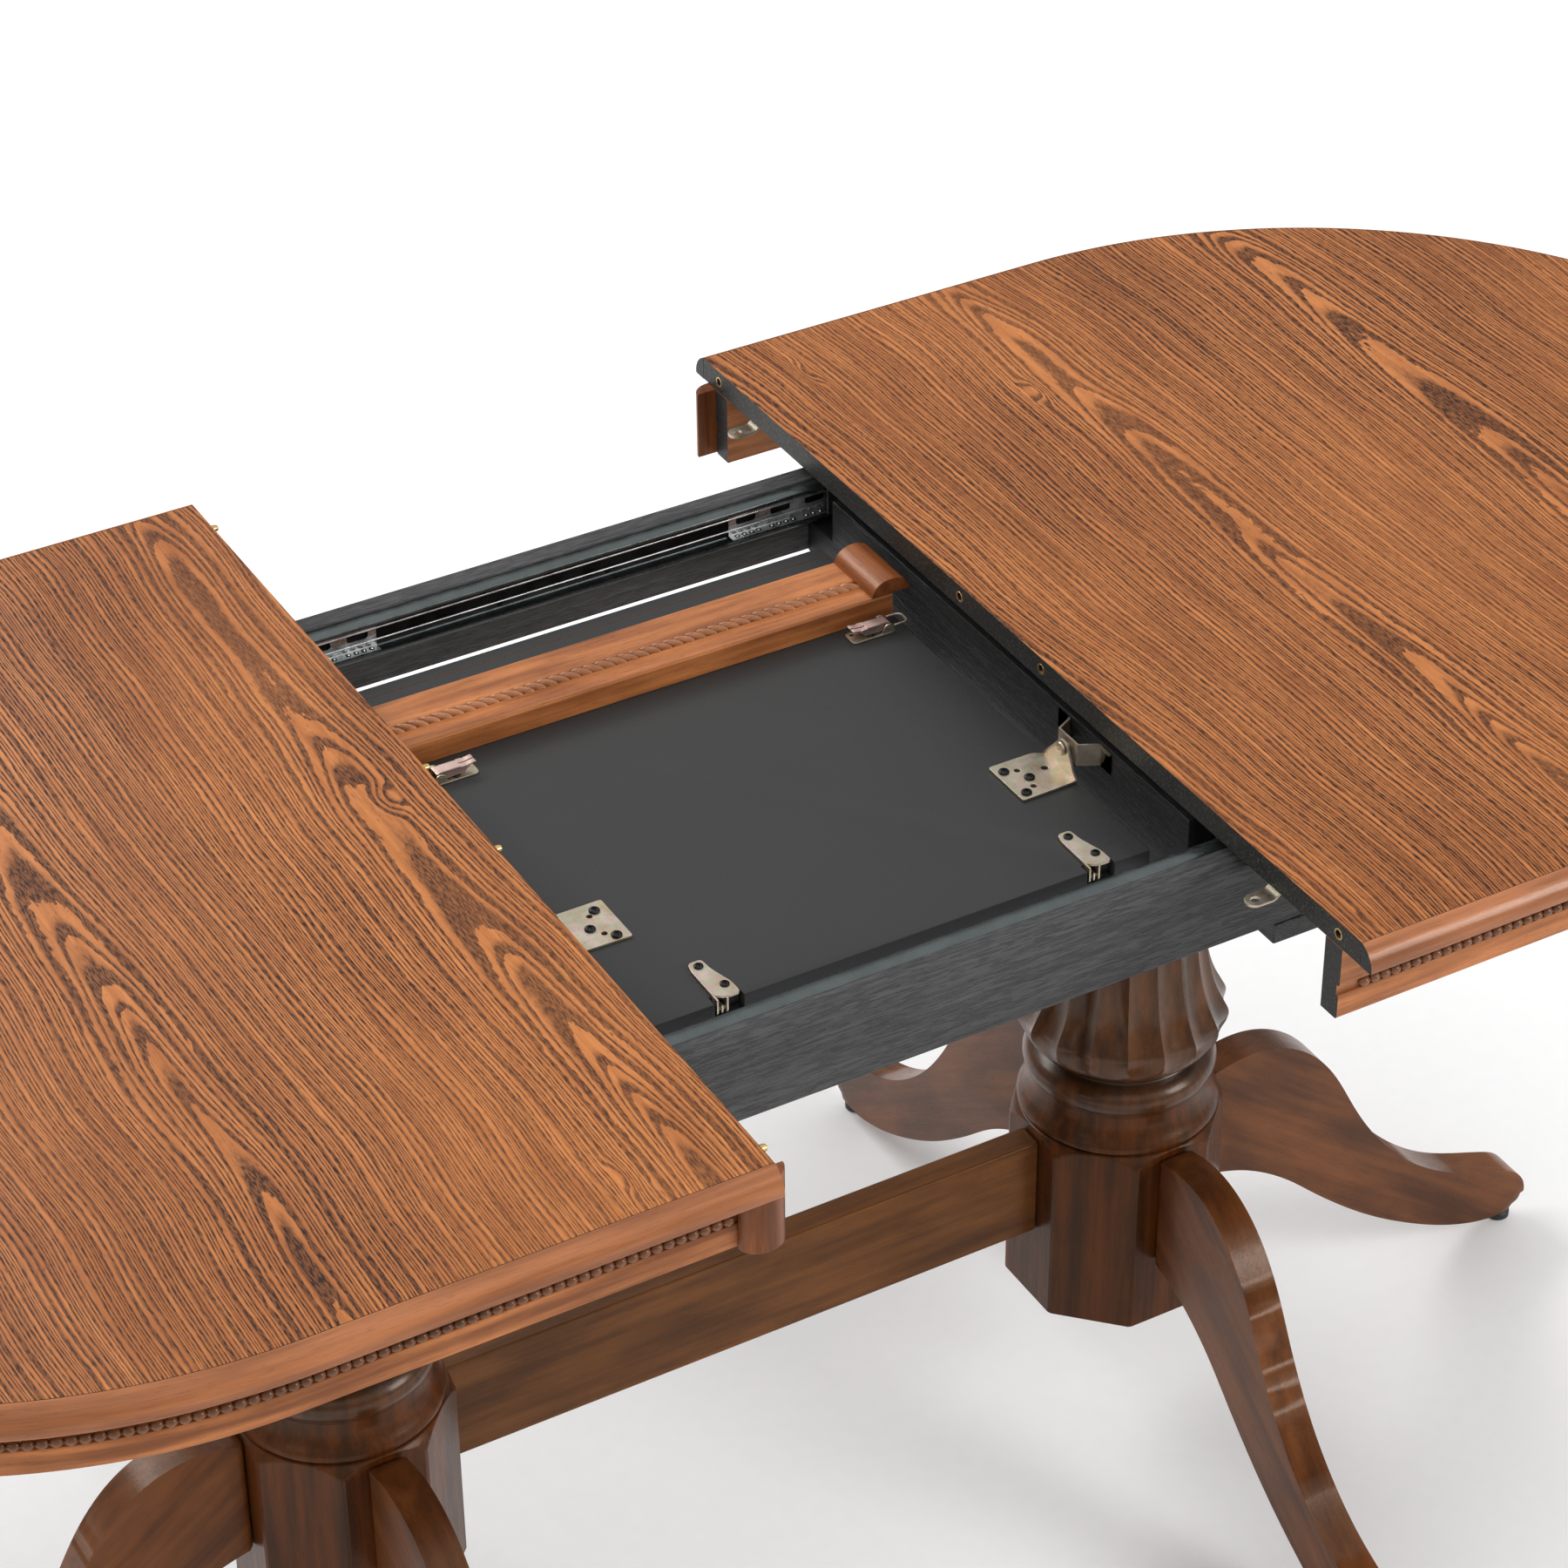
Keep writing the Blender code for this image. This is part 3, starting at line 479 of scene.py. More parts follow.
for label, end in ENDS.items():
    low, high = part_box(f"leg_{label}_near")
    pedestal_x = (low.x + high.x) / 2
    turns = {"end": 0.0 if end > 0 else math.pi, "near": -math.pi / 2, "far": math.pi / 2}
    for name, turn in turns.items():
        shape = leg_blank()
        place = Matrix.Translation((pedestal_x, 0, 0)) @ Matrix.Rotation(turn, 4, "Z")
        back_again = place.inverted()

        def down_leg(spot, back_again=back_again, seed=turn + end):
            local = back_again @ spot
            return (local.x * 0.8 - local.z * 0.6 + seed, local.x * 0.6 + local.z * 0.8, local.y)

        bmesh.ops.transform(shape, matrix=place, verts=shape.verts)
        piece(f"swept_leg_{label}_{name}", shape, [leg_wood], "base", [f"leg_{label}_{name}"],
              grain=down_leg, smooth=60)
        glide = turned_about((0, 0, 0), GLIDE_PROFILE)
        bmesh.ops.transform(glide, matrix=place @ Matrix.Translation((GLIDE_REACH, 0, 0)), verts=glide.verts)
        piece(f"glide_{label}_{name}", glide, [glide_plastic], "base")


# ---- Stretcher ---------------------------------------------------------------------------------
# A flat hardwood board on edge between the two blocks, stained a lighter brown with cloudy
# patches, its arrises just broken.

def box_shape(low, high):
    xs, ys = (low[0], high[0]), (low[1], high[1])
    rings = [[(xs[0], ys[0], z), (xs[1], ys[0], z), (xs[1], ys[1], z), (xs[0], ys[1], z)] for z in (low[2],
                                                                                                    high[2])]
    return ring_shape(rings)


stretcher_wood = stained_wood("stretcher_wood", paint(124, 76, 36), paint(74, 42, 18), 0.2, mottle=0.55)
piece("stretcher_board", box_shape(*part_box("stretcher")), [stretcher_wood], "base",
      ["stretcher"],
      ease=0.0018, grain=along_axes(0, 2, 1, 0.9))


# ---- Underframe --------------------------------------------------------------------------------
# Rails, cross rails and bearers sawn from softwood, brush painted black so that the open grain
# shows through. The long rails carry the slides; the cross rails are notched to clear them.

def black_paint(name, tone, grain_height):
    finish = Finish(name)
    grain = finish.add("Attribute", {"attribute_name": "grain"}, output="Vector")
    coarse = finish.noise(grain, (7, 240, 240), 5.0, 0.65)
    tears = finish.step(finish.noise(grain, (60, 700, 700), 3.0, 0.6), 0.48, 0.62)
    patch = finish.noise(grain, (14, 40, 40), 3.0)
    level = finish.step(coarse, 0.3, 0.72) * 0.6 + patch * 0.4
    dark, light = (tone * 0.55,) * 3 + (1.0,), (tone * 1.7,) * 3 + (1.0,)
    colour = finish.mix(level, dark, light)
    finish.feed("Base Color", finish.mix(tears * 0.45, colour, (tone * 0.3,) * 3 + (1.0,)))
    finish.feed("Roughness", finish.step(coarse, 0.2, 0.8, 0.42, 0.66))
    finish.bump(coarse * 0.7 - tears * 0.6, grain_height, 0.8)
    finish.shader.inputs["Specular IOR Level"].default_value = 0.25
    return finish.material


def from_node(*names):
    """The CAD pieces' own shapes with flat faces made whole again, ready for easing."""
    shape = bmesh.new()
    for name in names:
        shape.from_mesh(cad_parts[name].data)
    bmesh.ops.remove_doubles(shape, verts=shape.verts, dist=0.00001)
    for edge in shape.edges:
        edge.smooth = True
    bmesh.ops.dissolve_limit(shape, angle_limit=math.radians(0.5), verts=shape.verts, edges=shape.edges)
    for face in shape.faces:
        face.material_index = 0
    return shape


rail_paint = black_paint("rail_paint", 0.055, 0.0007)
frame_paint = black_paint("frame_paint", 0.007, 0.0003)
for label in SIDES:
    piece(f"long_rail_{label}", from_node(f"rail_{label}"), [rail_paint], "base",
          [f"rail_{label}"],
          ease=0.0015, rounds=3, grain=along_axes(0, 2, 1, 0.4))
for label in ENDS:
    piece(f"cross_rail_{label}", from_node(f"cross_{label}"), [frame_paint], "base",
          [f"cross_{label}"],
          ease=0.0008, grain=along_axes(1, 2, 0, 1.3))
    piece(f"bearer_board_{label}", from_node(f"bearer_{label}"), [rail_paint], "base",
          [f"bearer_{label}"], ease=0.0015, grain=along_axes(1, 0, 2, 2.1))


# ---- Half tops ---------------------------------------------------------------------------------
# Each half top is ash veneer on an 18.5 mm fibre core: figured, open pored, stained a warm orange
# brown. The seam edge and the underside are sealed dark grey.

def ash_veneer(name, seed):
    """Plain-sawn ash: growth rings cut into long peaks between bands of close straight lines."""
    finish = Finish(name)
    place = finish.place()
    across = finish.add("SeparateXYZ", None, {0: place}, "X")
    leaf_width, ring_pitch = 0.235, 0.0027
    sway = finish.noise(place, (1.3, 2.2, 1.3), 2.0) - 0.5
    fold = (across + seed + sway * 0.05).maths("PINGPONG", leaf_width / 2)
    drift = finish.noise(place, (2.6, 1.15, 2.6), 2.0, 0.4)
    ripple = finish.noise(place, (9.0, 3.2, 9.0), 1.0)
    along = finish.add("SeparateXYZ", None, {0: place}, "Y")
    depth = (along + 0.80) * 0.036 + (drift - 0.5) * 0.030 + (ripple - 0.5) * 0.012
    radius = (fold * fold + depth * depth).maths("SQRT")
    year = finish.noise(finish.add("CombineXYZ", None, {0: radius, 1: seed}), (62, 1, 1), 2.0)
    wave = (finish.noise(place, (24, 4.5, 24), 2.0) - 0.5) * 1.7
    wobble = (finish.noise(place, (90, 14, 90), 2.0) - 0.5) * 0.6
    shiver = (finish.noise(place, (420, 110, 420), 1.0) - 0.5) * 0.30
    cells = finish.add("VectorMath", {"operation": "MULTIPLY"}, {0: place, 1: (7.0, 3.0, 0.0)})
    knot = finish.add("TexVoronoi", {"feature": "F1"}, {"Vector": cells, "Scale": 1.0, "Randomness": 1.0},
                      "Distance")
    knot = finish.step(knot, 0.0, 0.09, 2.2, 0.0)
    rings = radius / ring_pitch + wave + wobble + shiver + knot + year * 7.0
    phase = rings.maths("FRACT")
    breadth = finish.noise(finish.add("CombineXYZ", None, {0: rings.maths("FLOOR"), 1: seed}), (0.9, 1, 1),
                           1.0)
    phase = phase / finish.step(breadth, 0.3, 0.7, 0.62, 1.35)
    stops = greys((0.0, 0.7), (0.04, 1), (0.40, 1), (0.55, 0.35), (0.70, 0), (1.0, 0))
    line = finish.add("ValToRGB", {"stops": stops}, {0: phase})
    dashes = finish.step(finish.noise(place, (900, 120, 900), 2.0, 0.6), 0.42, 0.60)
    fade = finish.step(finish.noise(place, (6, 3, 6), 2.0), 0.25, 0.6, 0.75, 1.0)
    strays = finish.step(finish.noise(place, (800, 90, 800), 1.0), 0.66, 0.72) * 0.5
    pores = (line * (dashes * 0.4 + 0.6) * fade).maths("MAXIMUM", strays)
    streak = finish.noise(place, (160, 9, 160), 3.0, 0.6)
    fibre = finish.noise(place, (700, 45, 700), 3.0, 0.65)
    cloud = finish.noise(place, (5, 2.2, 5), 2.0)
    ground = finish.mix(finish.step(streak * 0.6 + cloud * 0.4, 0.32, 0.68), paint(158, 92, 44),
                        paint(204, 129, 70))
    ground = finish.mix(finish.step(fibre, 0.25, 0.8) * 0.35, ground, paint(134, 74, 34))
    colour = finish.mix(pores, ground, paint(44, 18, 7))
    finish.feed("Base Color", colour)
    finish.feed("Roughness", finish.step(pores, 0.0, 1.0, 0.36, 0.55))
    finish.bump(1 - pores * 0.8 - fibre * 0.3, 0.00018, 0.55)
    finish.shader.inputs["Specular IOR Level"].default_value = 0.22
    return finish.material


def sealed_board(name, tone, speck_start=0.74):
    """Dark grey sealed fibreboard, faintly leathery, with a few pale specks."""
    finish = Finish(name)
    place = finish.place()
    skin = finish.noise(place, (320, 320, 320), 3.0, 0.6)
    cloud = finish.noise(place, (9, 9, 9), 3.0)
    specks = finish.step(finish.noise(place, (620, 620, 620), 2.0), speck_start, speck_start + 0.07)
    dark, light = (tone * 0.82, tone * 0.84, tone * 0.84, 1.0), (tone * 1.15, tone * 1.17, tone * 1.16, 1.0)
    colour = finish.mix(skin * 0.5 + cloud * 0.5, dark, light)
    finish.feed("Base Color", finish.mix(specks * 0.6, colour, (0.10, 0.085, 0.055, 1.0)))
    finish.feed("Roughness", finish.step(skin, 0.2, 0.8, 0.40, 0.55))
    finish.bump(skin, 0.00025, 0.5)
    finish.shader.inputs["Specular IOR Level"].default_value = 0.3
    return finish.material


veneer = ash_veneer("ash_veneer", 0.03)
seam_paint = sealed_board("seam_paint", 0.016, 0.56)
panel_low, panel_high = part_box("top_right")
SEAM = panel_low.x
UNDER = panel_low.z
PANEL_REACH = panel_high.y
ARC_CENTRE = panel_high.x - PANEL_REACH
ARC_STEPS = 120
STRAIGHT_STEPS = 6
PIN_PLACES = (-0.4127, -0.0547, 0.0547, 0.4127)
PIN_DEPTH = 0.0092


def half_stations():
    """(centre's x, angle) round one half from seam to seam, for the half at +X."""
    run = ARC_CENTRE - SEAM
    stations = [(SEAM + run * k / STRAIGHT_STEPS, -math.pi / 2) for k in range(STRAIGHT_STEPS)]
    stations += [(ARC_CENTRE, math.pi * (k / ARC_STEPS - 0.5)) for k in range(ARC_STEPS + 1)]
    stations += [(ARC_CENTRE - run * (k + 1) / STRAIGHT_STEPS, math.pi / 2) for k in range(STRAIGHT_STEPS)]
    return stations


def around_half(end, section):
    """Sweep a section of (distance from the centre line, height) round one half."""
    rings = []
    for centre, angle in half_stations():
        rings.append([(end * (centre + reach * math.cos(angle)), reach * math.sin(angle), height)
                      for reach, height in section])
    return ring_shape(rings)


def drilled(shape, tools):
    """Cut the tool shapes out of a shape."""
    items = []
    for part in (shape, join_shapes(*tools)):
        mesh = bpy.data.meshes.new("operand")
        part.to_mesh(mesh)
        part.free()
        item = bpy.data.objects.new("operand", mesh)
        bpy.context.scene.collection.objects.link(item)
        items.append(item)
    modifier = items[0].modifiers.new("cut", "BOOLEAN")
    modifier.operation = "DIFFERENCE"
    modifier.solver = "EXACT"
    modifier.object = items[1]
    graph = bpy.context.evaluated_depsgraph_get()
    result = bmesh.new()
    result.from_mesh(items[0].evaluated_get(graph).to_mesh())
    for item in items:
        bpy.data.objects.remove(item)
    return result


def veneered_panel(outline, base, surface, holes=()):
    """Panel with a veneered face and all its other faces sealed, drilled where needed."""
    shape = ring_shape([[(x, y, z) for x, y in outline] for z in (base, surface)])
    if holes:
        shape = drilled(shape, holes)
    facing = 1 if surface > base else -1
    for face in shape.faces:
        face.material_index = 0 if face.normal.z * facing > 0.9 else 1
    return shape


for label, end in ENDS.items():
    outline = [(end * (centre + PANEL_REACH * math.cos(angle)), PANEL_REACH * math.sin(angle))
               for centre, angle in half_stations()]
    holes = []
    if end > 0:
        holes = [turned_about((SEAM, y, TOP - PIN_DEPTH), [(0.0031, -0.002), (0.0031, 0.0105)],
                              "x") for y in PIN_PLACES]
    piece(f"panel_{label}", veneered_panel(outline, UNDER, TOP, holes), [veneer, seam_paint],
          f"half_{label}",
          [f"top_{label}"], ease=0.0006, rounds=2)


# ---- Edge mouldings ----------------------------------------------------------------------------
# Hardwood moulding glued round each half top: a shallow hollow, a fine step and a full ovolo,
# glossy lacquered, with its sawn ends at the seam sealed dark.

def round_grain(end, seed=0.0):
    """Grain that follows a piece swept round one half top."""
    run = ARC_CENTRE - SEAM

    def follow(spot):
        x = end * spot.x
        if x > ARC_CENTRE:
            angle = math.atan2(spot.y, x - ARC_CENTRE)
            reach = math.hypot(spot.y, x - ARC_CENTRE)
            return (run + PANEL_REACH * (angle + math.pi / 2) + seed, reach, spot.z)
        travelled = x - SEAM if spot.y < 0 else run * 2 + PANEL_REACH * math.pi - (x - SEAM)
        return (travelled + seed, abs(spot.y), spot.z)

    return follow


def moulding_profile(start, surface, facing=1):
    """(distance, height) round the moulding's section; facing -1 turns it upside down."""
    thickness = TOP - UNDER
    first, reach, depth = math.radians(28), 0.0124, 0.0168
    offsets = [(0.0003, 0.0001), (0.0012, 0.0002)]
    for k in range(15):
        angle = first + (math.pi / 2 - first) * k / 14
        out = 0.0016 + (reach - 0.0016) * (math.sin(angle) - math.sin(first)) / (1 - math.sin(first))
        offsets.append((out, 0.0004 + (depth - 0.0004) * (1 - math.cos(angle) / math.cos(first))))
    offsets += [(reach - 0.0001, thickness - 0.0008), (reach - 0.0009, thickness), (0.0003, thickness)]
    return [(start + out, surface - facing * drop) for out, drop in offsets]


def seal_ends(shape):
    """Give the end faces at the seam the second material."""
    for face in shape.faces:
        at_seam = abs(face.calc_center_median().x) < SEAM + 0.001
        face.material_index = int(abs(face.normal.x) > 0.99 and at_seam)


moulding_wood = stained_wood("moulding_wood", paint(183, 116, 75), paint(126, 73, 42), 0.9, mottle=0.3,
                             pore_depth=0.2)
end_seal = sealed_board("end_seal", 0.022, 0.60)
for label, end in ENDS.items():
    shape = around_half(end, moulding_profile(PANEL_REACH, TOP))
    seal_ends(shape)
    piece(f"edge_moulding_{label}", shape, [moulding_wood, end_seal], f"half_{label}",
          [f"moulding_{label}"], grain=round_grain(end, end * 0.5), smooth=40)


# ---- Aprons ------------------------------------------------------------------------------------
# A hardwood apron bent round under each half, grooved for a carved row of pearl beads, with a
# half-round post planted over one end so that it laps the other half's apron when closed.

apron_low, apron_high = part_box("apron_right")
APRON_OUTER = apron_high.y
APRON_THICKNESS = 0.0185
APRON_INNER = APRON_OUTER - APRON_THICKNESS
APRON_HEIGHT = apron_high.z - apron_low.z
GROOVE_TOP, GROOVE_BOTTOM, GROOVE_DEPTH = 0.0296, 0.0381, 0.0030
BEAD_PITCH = 0.0083
BEAD_SIZE = (0.0042, 0.0036, 0.0038)


def apron_profile():
    """(distance out from the inner face, drop below the top edge)."""
    full = APRON_THICKNESS
    floor = full - GROOVE_DEPTH
    return [(0.0, 0.0), (full, 0.0), (full, GROOVE_TOP - 0.0008), (full - 0.0008, GROOVE_TOP),
            (floor, GROOVE_TOP + 0.0006), (floor, GROOVE_BOTTOM - 0.0006), (full - 0.0012, GROOVE_BOTTOM),
            (full - 0.0006, GROOVE_BOTTOM + 0.0010), (full - 0.0006, APRON_HEIGHT - 0.0016),
            (full - 0.0022, APRON_HEIGHT), (0.0, APRON_HEIGHT)]


def bumps(places, size, spiral=0.0):
    """Rounded carved lumps in one mesh. Each place is (centre, along, outward)."""
    around, up_steps = 10, 7
    verts, faces = [], []
    for centre, along, outward in places:
        along, outward = Vector(along).normalized(), Vector(outward).normalized()
        upward = along.cross(outward)
        turned_along = along * math.cos(spiral) + upward * math.sin(spiral)
        turned_up = upward * math.cos(spiral) - along * math.sin(spiral)
        first = len(verts)
        for i in range(up_steps):
            tilt = math.pi * (i + 0.5) / up_steps
            for k in range(around):
                turn = math.tau * k / around
                a = size[0] * math.cos(tilt)
                b = size[1] * math.sin(tilt) * math.cos(turn)
                c = size[2] * math.sin(tilt) * math.sin(turn)
                verts.append(Vector(centre) + turned_along * a + outward * b + turned_up * c)
        for i in range(up_steps - 1):
            for k in range(around):
                nxt = (k + 1) % around
                row, above = first + i * around, first + (i + 1) * around
                faces.append((row + k, row + nxt, above + nxt, above + k))
        faces.append(tuple(first + k for k in range(around)))
        faces.append(tuple(first + (up_steps - 1) * around + k for k in range(around)))
    mesh = bpy.data.meshes.new("bumps")
    mesh.from_pydata(verts, [], faces)
    shape = bmesh.new()
    shape.from_mesh(mesh)
    bpy.data.meshes.remove(mesh)
    return shape


def half_round(centre, base, facing, half_width, depth, steps=20):
    return [(centre + half_width * math.cos(math.pi * k / steps),
             base + facing * depth * math.sin(math.pi * k / steps))
            for k in range(steps + 1)]


apron_wood = stained_wood("apron_wood", paint(208, 132, 80), paint(124, 72, 42), 0.35, mottle=0.35)
bead_wood = stained_wood("bead_wood", paint(142, 90, 58), paint(74, 43, 25), 0.9, mottle=0.5)
post_wood = stained_wood("post_wood", paint(155, 88, 47), paint(90, 48, 24), 0.35, mottle=0.35)
for label, end in ENDS.items():
    body = f"half_{label}"
    top_edge = apron_high.z
    section = [(APRON_INNER + out, top_edge - drop) for out, drop in apron_profile()]
    shape = around_half(end, section)
    seal_ends(shape)
    piece(f"apron_board_{label}", shape, [apron_wood, end_seal], body, [f"apron_{label}"],
          grain=round_grain(end, end * 0.8), smooth=40)
    run = ARC_CENTRE - SEAM
    reach = APRON_OUTER - GROOVE_DEPTH + 0.0012
    total = 2 * run + math.pi * APRON_OUTER
    first_gap = 0.0212
    travelled = first_gap
    places = []
    while travelled < total - first_gap:
        if travelled < run:
            spot, angle = SEAM + travelled, -math.pi / 2
        elif travelled < run + math.pi * APRON_OUTER:
            spot, angle = ARC_CENTRE, (travelled - run) / APRON_OUTER - math.pi / 2
        else:
            spot, angle = ARC_CENTRE - (travelled - run - math.pi * APRON_OUTER), math.pi / 2
        outward = Vector((end * math.cos(angle), math.sin(angle), 0))
        centre = Vector((end * spot, 0, top_edge - (GROOVE_TOP + GROOVE_BOTTOM) / 2)) + outward * reach
        places.append((centre, outward.cross(Vector((0, 0, 1))), outward))
        travelled += BEAD_PITCH
    piece(f"pearl_beads_{label}", bumps(places, BEAD_SIZE), [bead_wood], body,
          grain=round_grain(end, 0.2), smooth=180)
    post_low, post_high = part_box(f"post_{label}")
    side = 1 if post_low.y > 0 else -1
    base_y = post_low.y if side > 0 else post_high.y
    outline = half_round((post_low.x + post_high.x) / 2, base_y, side, (post_high.x - post_low.x) / 2,
                         post_high.y - post_low.y)
    shape = ring_shape([[(x, y, z) for x, y in outline] for z in (post_low.z, post_high.z)])
    piece(f"joint_post_{label}", shape, [post_wood], body, [f"post_{label}"], ease=0.0007,
          grain=along_axes(2, 0, 1, 1.7 * end))


# ---- Slide rails -------------------------------------------------------------------------------
# Each long rail carries a roll-formed zinc channel with rolled lips. Inside it run an endless wire
# over two small pulleys, which makes the halves move together, and pressed ball cages.

def bare_metal(name, light, dark, rough=0.35, tint=None, grime=0.3):
    """Plated sheet steel: cloudy passivation, fine rubbing marks and dull spots."""
    finish = Finish(name, metallic=0.9)
    place = finish.place()
    cloud = finish.noise(place, (55, 55, 55), 3.0, 0.6)
    rub = finish.noise(place, (120, 1500, 1500), 2.0)
    spots = finish.step(finish.noise(place, (380, 380, 380), 3.0), 0.55, 0.72)
    colour = finish.mix(finish.step(cloud, 0.32, 0.68), dark, light)
    if tint:
        bands = finish.add("ValToRGB", {"stops": tint}, {0: finish.noise(place, (70, 70, 70), 2.0)})
        colour = finish.mix(0.55, colour, bands)
    finish.feed("Base Color", finish.mix(spots * grime, colour, toned(dark, 0.3)))
    finish.feed("Roughness", finish.step(cloud * 0.5 + rub * 0.5, 0.3, 0.7, rough - 0.1, rough + 0.15))
    finish.bump(rub * 0.5 + spots * 0.5, 0.00008, 0.4)
    return finish.material


def bar_shape(section, x_range, along="x"):
    """A constant section in the other two axes, drawn out between two values of one axis."""
    spot = "xyz".index(along)
    return ring_shape([[(*point[:spot], level, *point[spot:]) for point in section] for level in x_range])


def sheet_section(path, thick):
    """Closed outline of sheet bent along a path, thickened to its left."""
    normals = []
    for one, two in zip(path, path[1:]):
        run = Vector((two[0] - one[0], two[1] - one[1])).normalized()
        normals.append(Vector((-run.y, run.x)))
    offset = []
    for k, spot in enumerate(path):
        before = normals[max(k - 1, 0)]
        after = normals[min(k, len(normals) - 1)]
        middle = (before + after).normalized()
        reach = thick / max(middle.dot(after), 0.5)
        offset.append((spot[0] + middle.x * reach, spot[1] + middle.y * reach))
    return list(path) + offset[::-1]


def wire_shape(path, radius, closed=False, steps=8):
    """Round wire along a path of points."""
    points = [Vector(spot) for spot in path]
    rings = []
    side = None
    for k, spot in enumerate(points):
        if closed:
            ahead, behind = points[(k + 1) % len(points)], points[k - 1]
        else:
            ahead, behind = points[min(k + 1, len(points) - 1)], points[max(k - 1, 0)]
        run = (ahead - behind).normalized()
        if side is None:
            side = run.orthogonal().normalized()
        side = (side - run * side.dot(run)).normalized()
        other = run.cross(side)
        turns = [math.tau * j / steps for j in range(steps)]
        rings.append([spot + (side * math.cos(turn) + other * math.sin(turn)) * radius for turn in turns])
    if not closed:
        return ring_shape(rings)
    rings.append(rings[0])
    shape = ring_shape(rings, closed_ends=False)
    bmesh.ops.remove_doubles(shape, verts=shape.verts, dist=0.00001)
    return shape


def dome(centre, facing, radius, height, axis="z", steps=20):
    """Pan head standing out from a face along an axis."""
    profile = [(radius * 0.96, 0.0), (radius, height * 0.25)]
    for k in range(1, 6):
        angle = math.pi / 2 * k / 6
        profile.append((radius * math.cos(angle) ** 0.8, height * (0.25 + 0.75 * math.sin(angle))))
    profile.append((radius * 0.12, height))
    return turned_about(centre, [(r, facing * z) for r, z in profile], axis, steps)


slide_zinc = bare_metal("slide_zinc", (0.108, 0.124, 0.124, 1.0), (0.090, 0.104, 0.104, 1.0), 0.26,
                        grime=0.05)
# A near-black copy of the zinc, for the painted shade on the channel's web.
shaded_web_zinc = bare_metal("shaded_web_zinc", (0.022, 0.024, 0.025, 1.0), (0.012, 0.012, 0.012, 1.0), 0.4, grime=0.3)
wire_steel = bare_metal("wire_steel", (0.78, 0.79, 0.80, 1.0), (0.52, 0.52, 0.53, 1.0), 0.3)
black_steel = bare_metal("black_steel", (0.035, 0.035, 0.037, 1.0), (0.018, 0.018, 0.018, 1.0), 0.35)
pulley_plastic = soft_plastic("pulley_plastic", (0.03, 0.03, 0.032, 1.0), 0.4)
for label, side in SIDES.items():
    low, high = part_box(f"slide_outer_{label}")
    deep, open_edge = (low.y, high.y) if side < 0 else (high.y, low.y)
    inward = -side
    thick = 0.0016
    path = [(open_edge, high.z - 0.0035), (open_edge, high.z - 0.0010), (open_edge - inward * 0.0010, high.z),
            (deep + inward * 0.0022, high.z), (deep, high.z - 0.0022),
            (deep, low.z + 0.0022), (deep + inward * 0.0022, low.z), (open_edge - inward * 0.0010, low.z),
            (open_edge, low.z + 0.0010), (open_edge, low.z + 0.0035)]
    section = sheet_section(path, thick * (1 if side < 0 else -1))
    # The channel's inner web faces take the near-black copy of the zinc: painted shade deep in the channel.
    shape = bar_shape(section, (low.x, high.x))
    for face in shape.faces:
        in_web_shade = abs(face.normal.y) > 0.95 and abs(face.calc_center_median().y - deep) < 0.003
        face.material_index = 1 if in_web_shade else 0
    piece(f"channel_{label}", shape, [slide_zinc, shaded_web_zinc], "base", [f"slide_outer_{label}"],
          smooth=50)
    wire_low, wire_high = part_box(f"cable_{label}")
    wire_y = (wire_low.y + wire_high.y) / 2
    turn = (wire_high.z - wire_low.z) / 2 - 0.0009
    wire_z = (wire_high.z + wire_low.z) / 2
    path = []
    for middle, first in ((wire_high.x - turn - 0.0009, -math.pi / 2),
                          (wire_low.x + turn + 0.0009, math.pi / 2)):
        for k in range(13):
            angle = first + math.pi * k / 12
            path.append((middle + turn * math.cos(angle), wire_y, wire_z + turn * math.sin(angle)))
    piece(f"wire_{label}", wire_shape(path, 0.0009, closed=True), [wire_steel], "base",
          [f"cable_{label}"],
          smooth=180)
    hubs = []
    for middle in (wire_high.x - turn - 0.0009, wire_low.x + turn + 0.0009):
        groove = turn - 0.0006
        profile = [(0.0012, -0.0024), (groove + 0.0016, -0.0024), (groove + 0.0016, -0.0014),
                   (groove, -0.0006),
                   (groove, 0.0006), (groove + 0.0016, 0.0014), (groove + 0.0016, 0.0020), (0.0012, 0.0020)]
        hubs.append(turned_about((middle, wire_y, wire_z), profile, "y"))
    piece(f"pulleys_{label}", join_shapes(*hubs), [pulley_plastic], "base", smooth=40)
    fixings = []
    for x in (-0.40, -0.20, -0.045, 0.045, 0.20, 0.40):
        fixings.append(dome((x, deep + inward * thick, wire_z - 0.0085), inward, 0.0032, 0.0012, "y", 16))
    piece(f"channel_screws_{label}", join_shapes(*fixings), [black_steel], "base", smooth=50)


# ---- Ball cages --------------------------------------------------------------------------------
# Thin pressed retainers with rounded windows, and steel balls held in groups along both flanges;
# each rides between the fixed channel and the moving member at half its travel.

def balls(spots, radius):
    return bumps([(spot, (0, 0, 1), (0, 1, 0)) for spot in spots], (radius, radius, radius))


def slot_tool(x_range, z_range, y_range, corner):
    """Rounded rectangle in X and Z, through a wall along Y."""
    outline = []
    for cx, cz, first in ((x_range[1] - corner, z_range[1] - corner, 0),
                          (x_range[0] + corner, z_range[1] - corner, 90),
                          (x_range[0] + corner, z_range[0] + corner, 180),
                          (x_range[1] - corner, z_range[0] + corner, 270)):
        for k in range(5):
            angle = math.radians(first + 22.5 * k)
            outline.append((cx + corner * math.cos(angle), cz + corner * math.sin(angle)))
    return bar_shape(outline, y_range, "y")


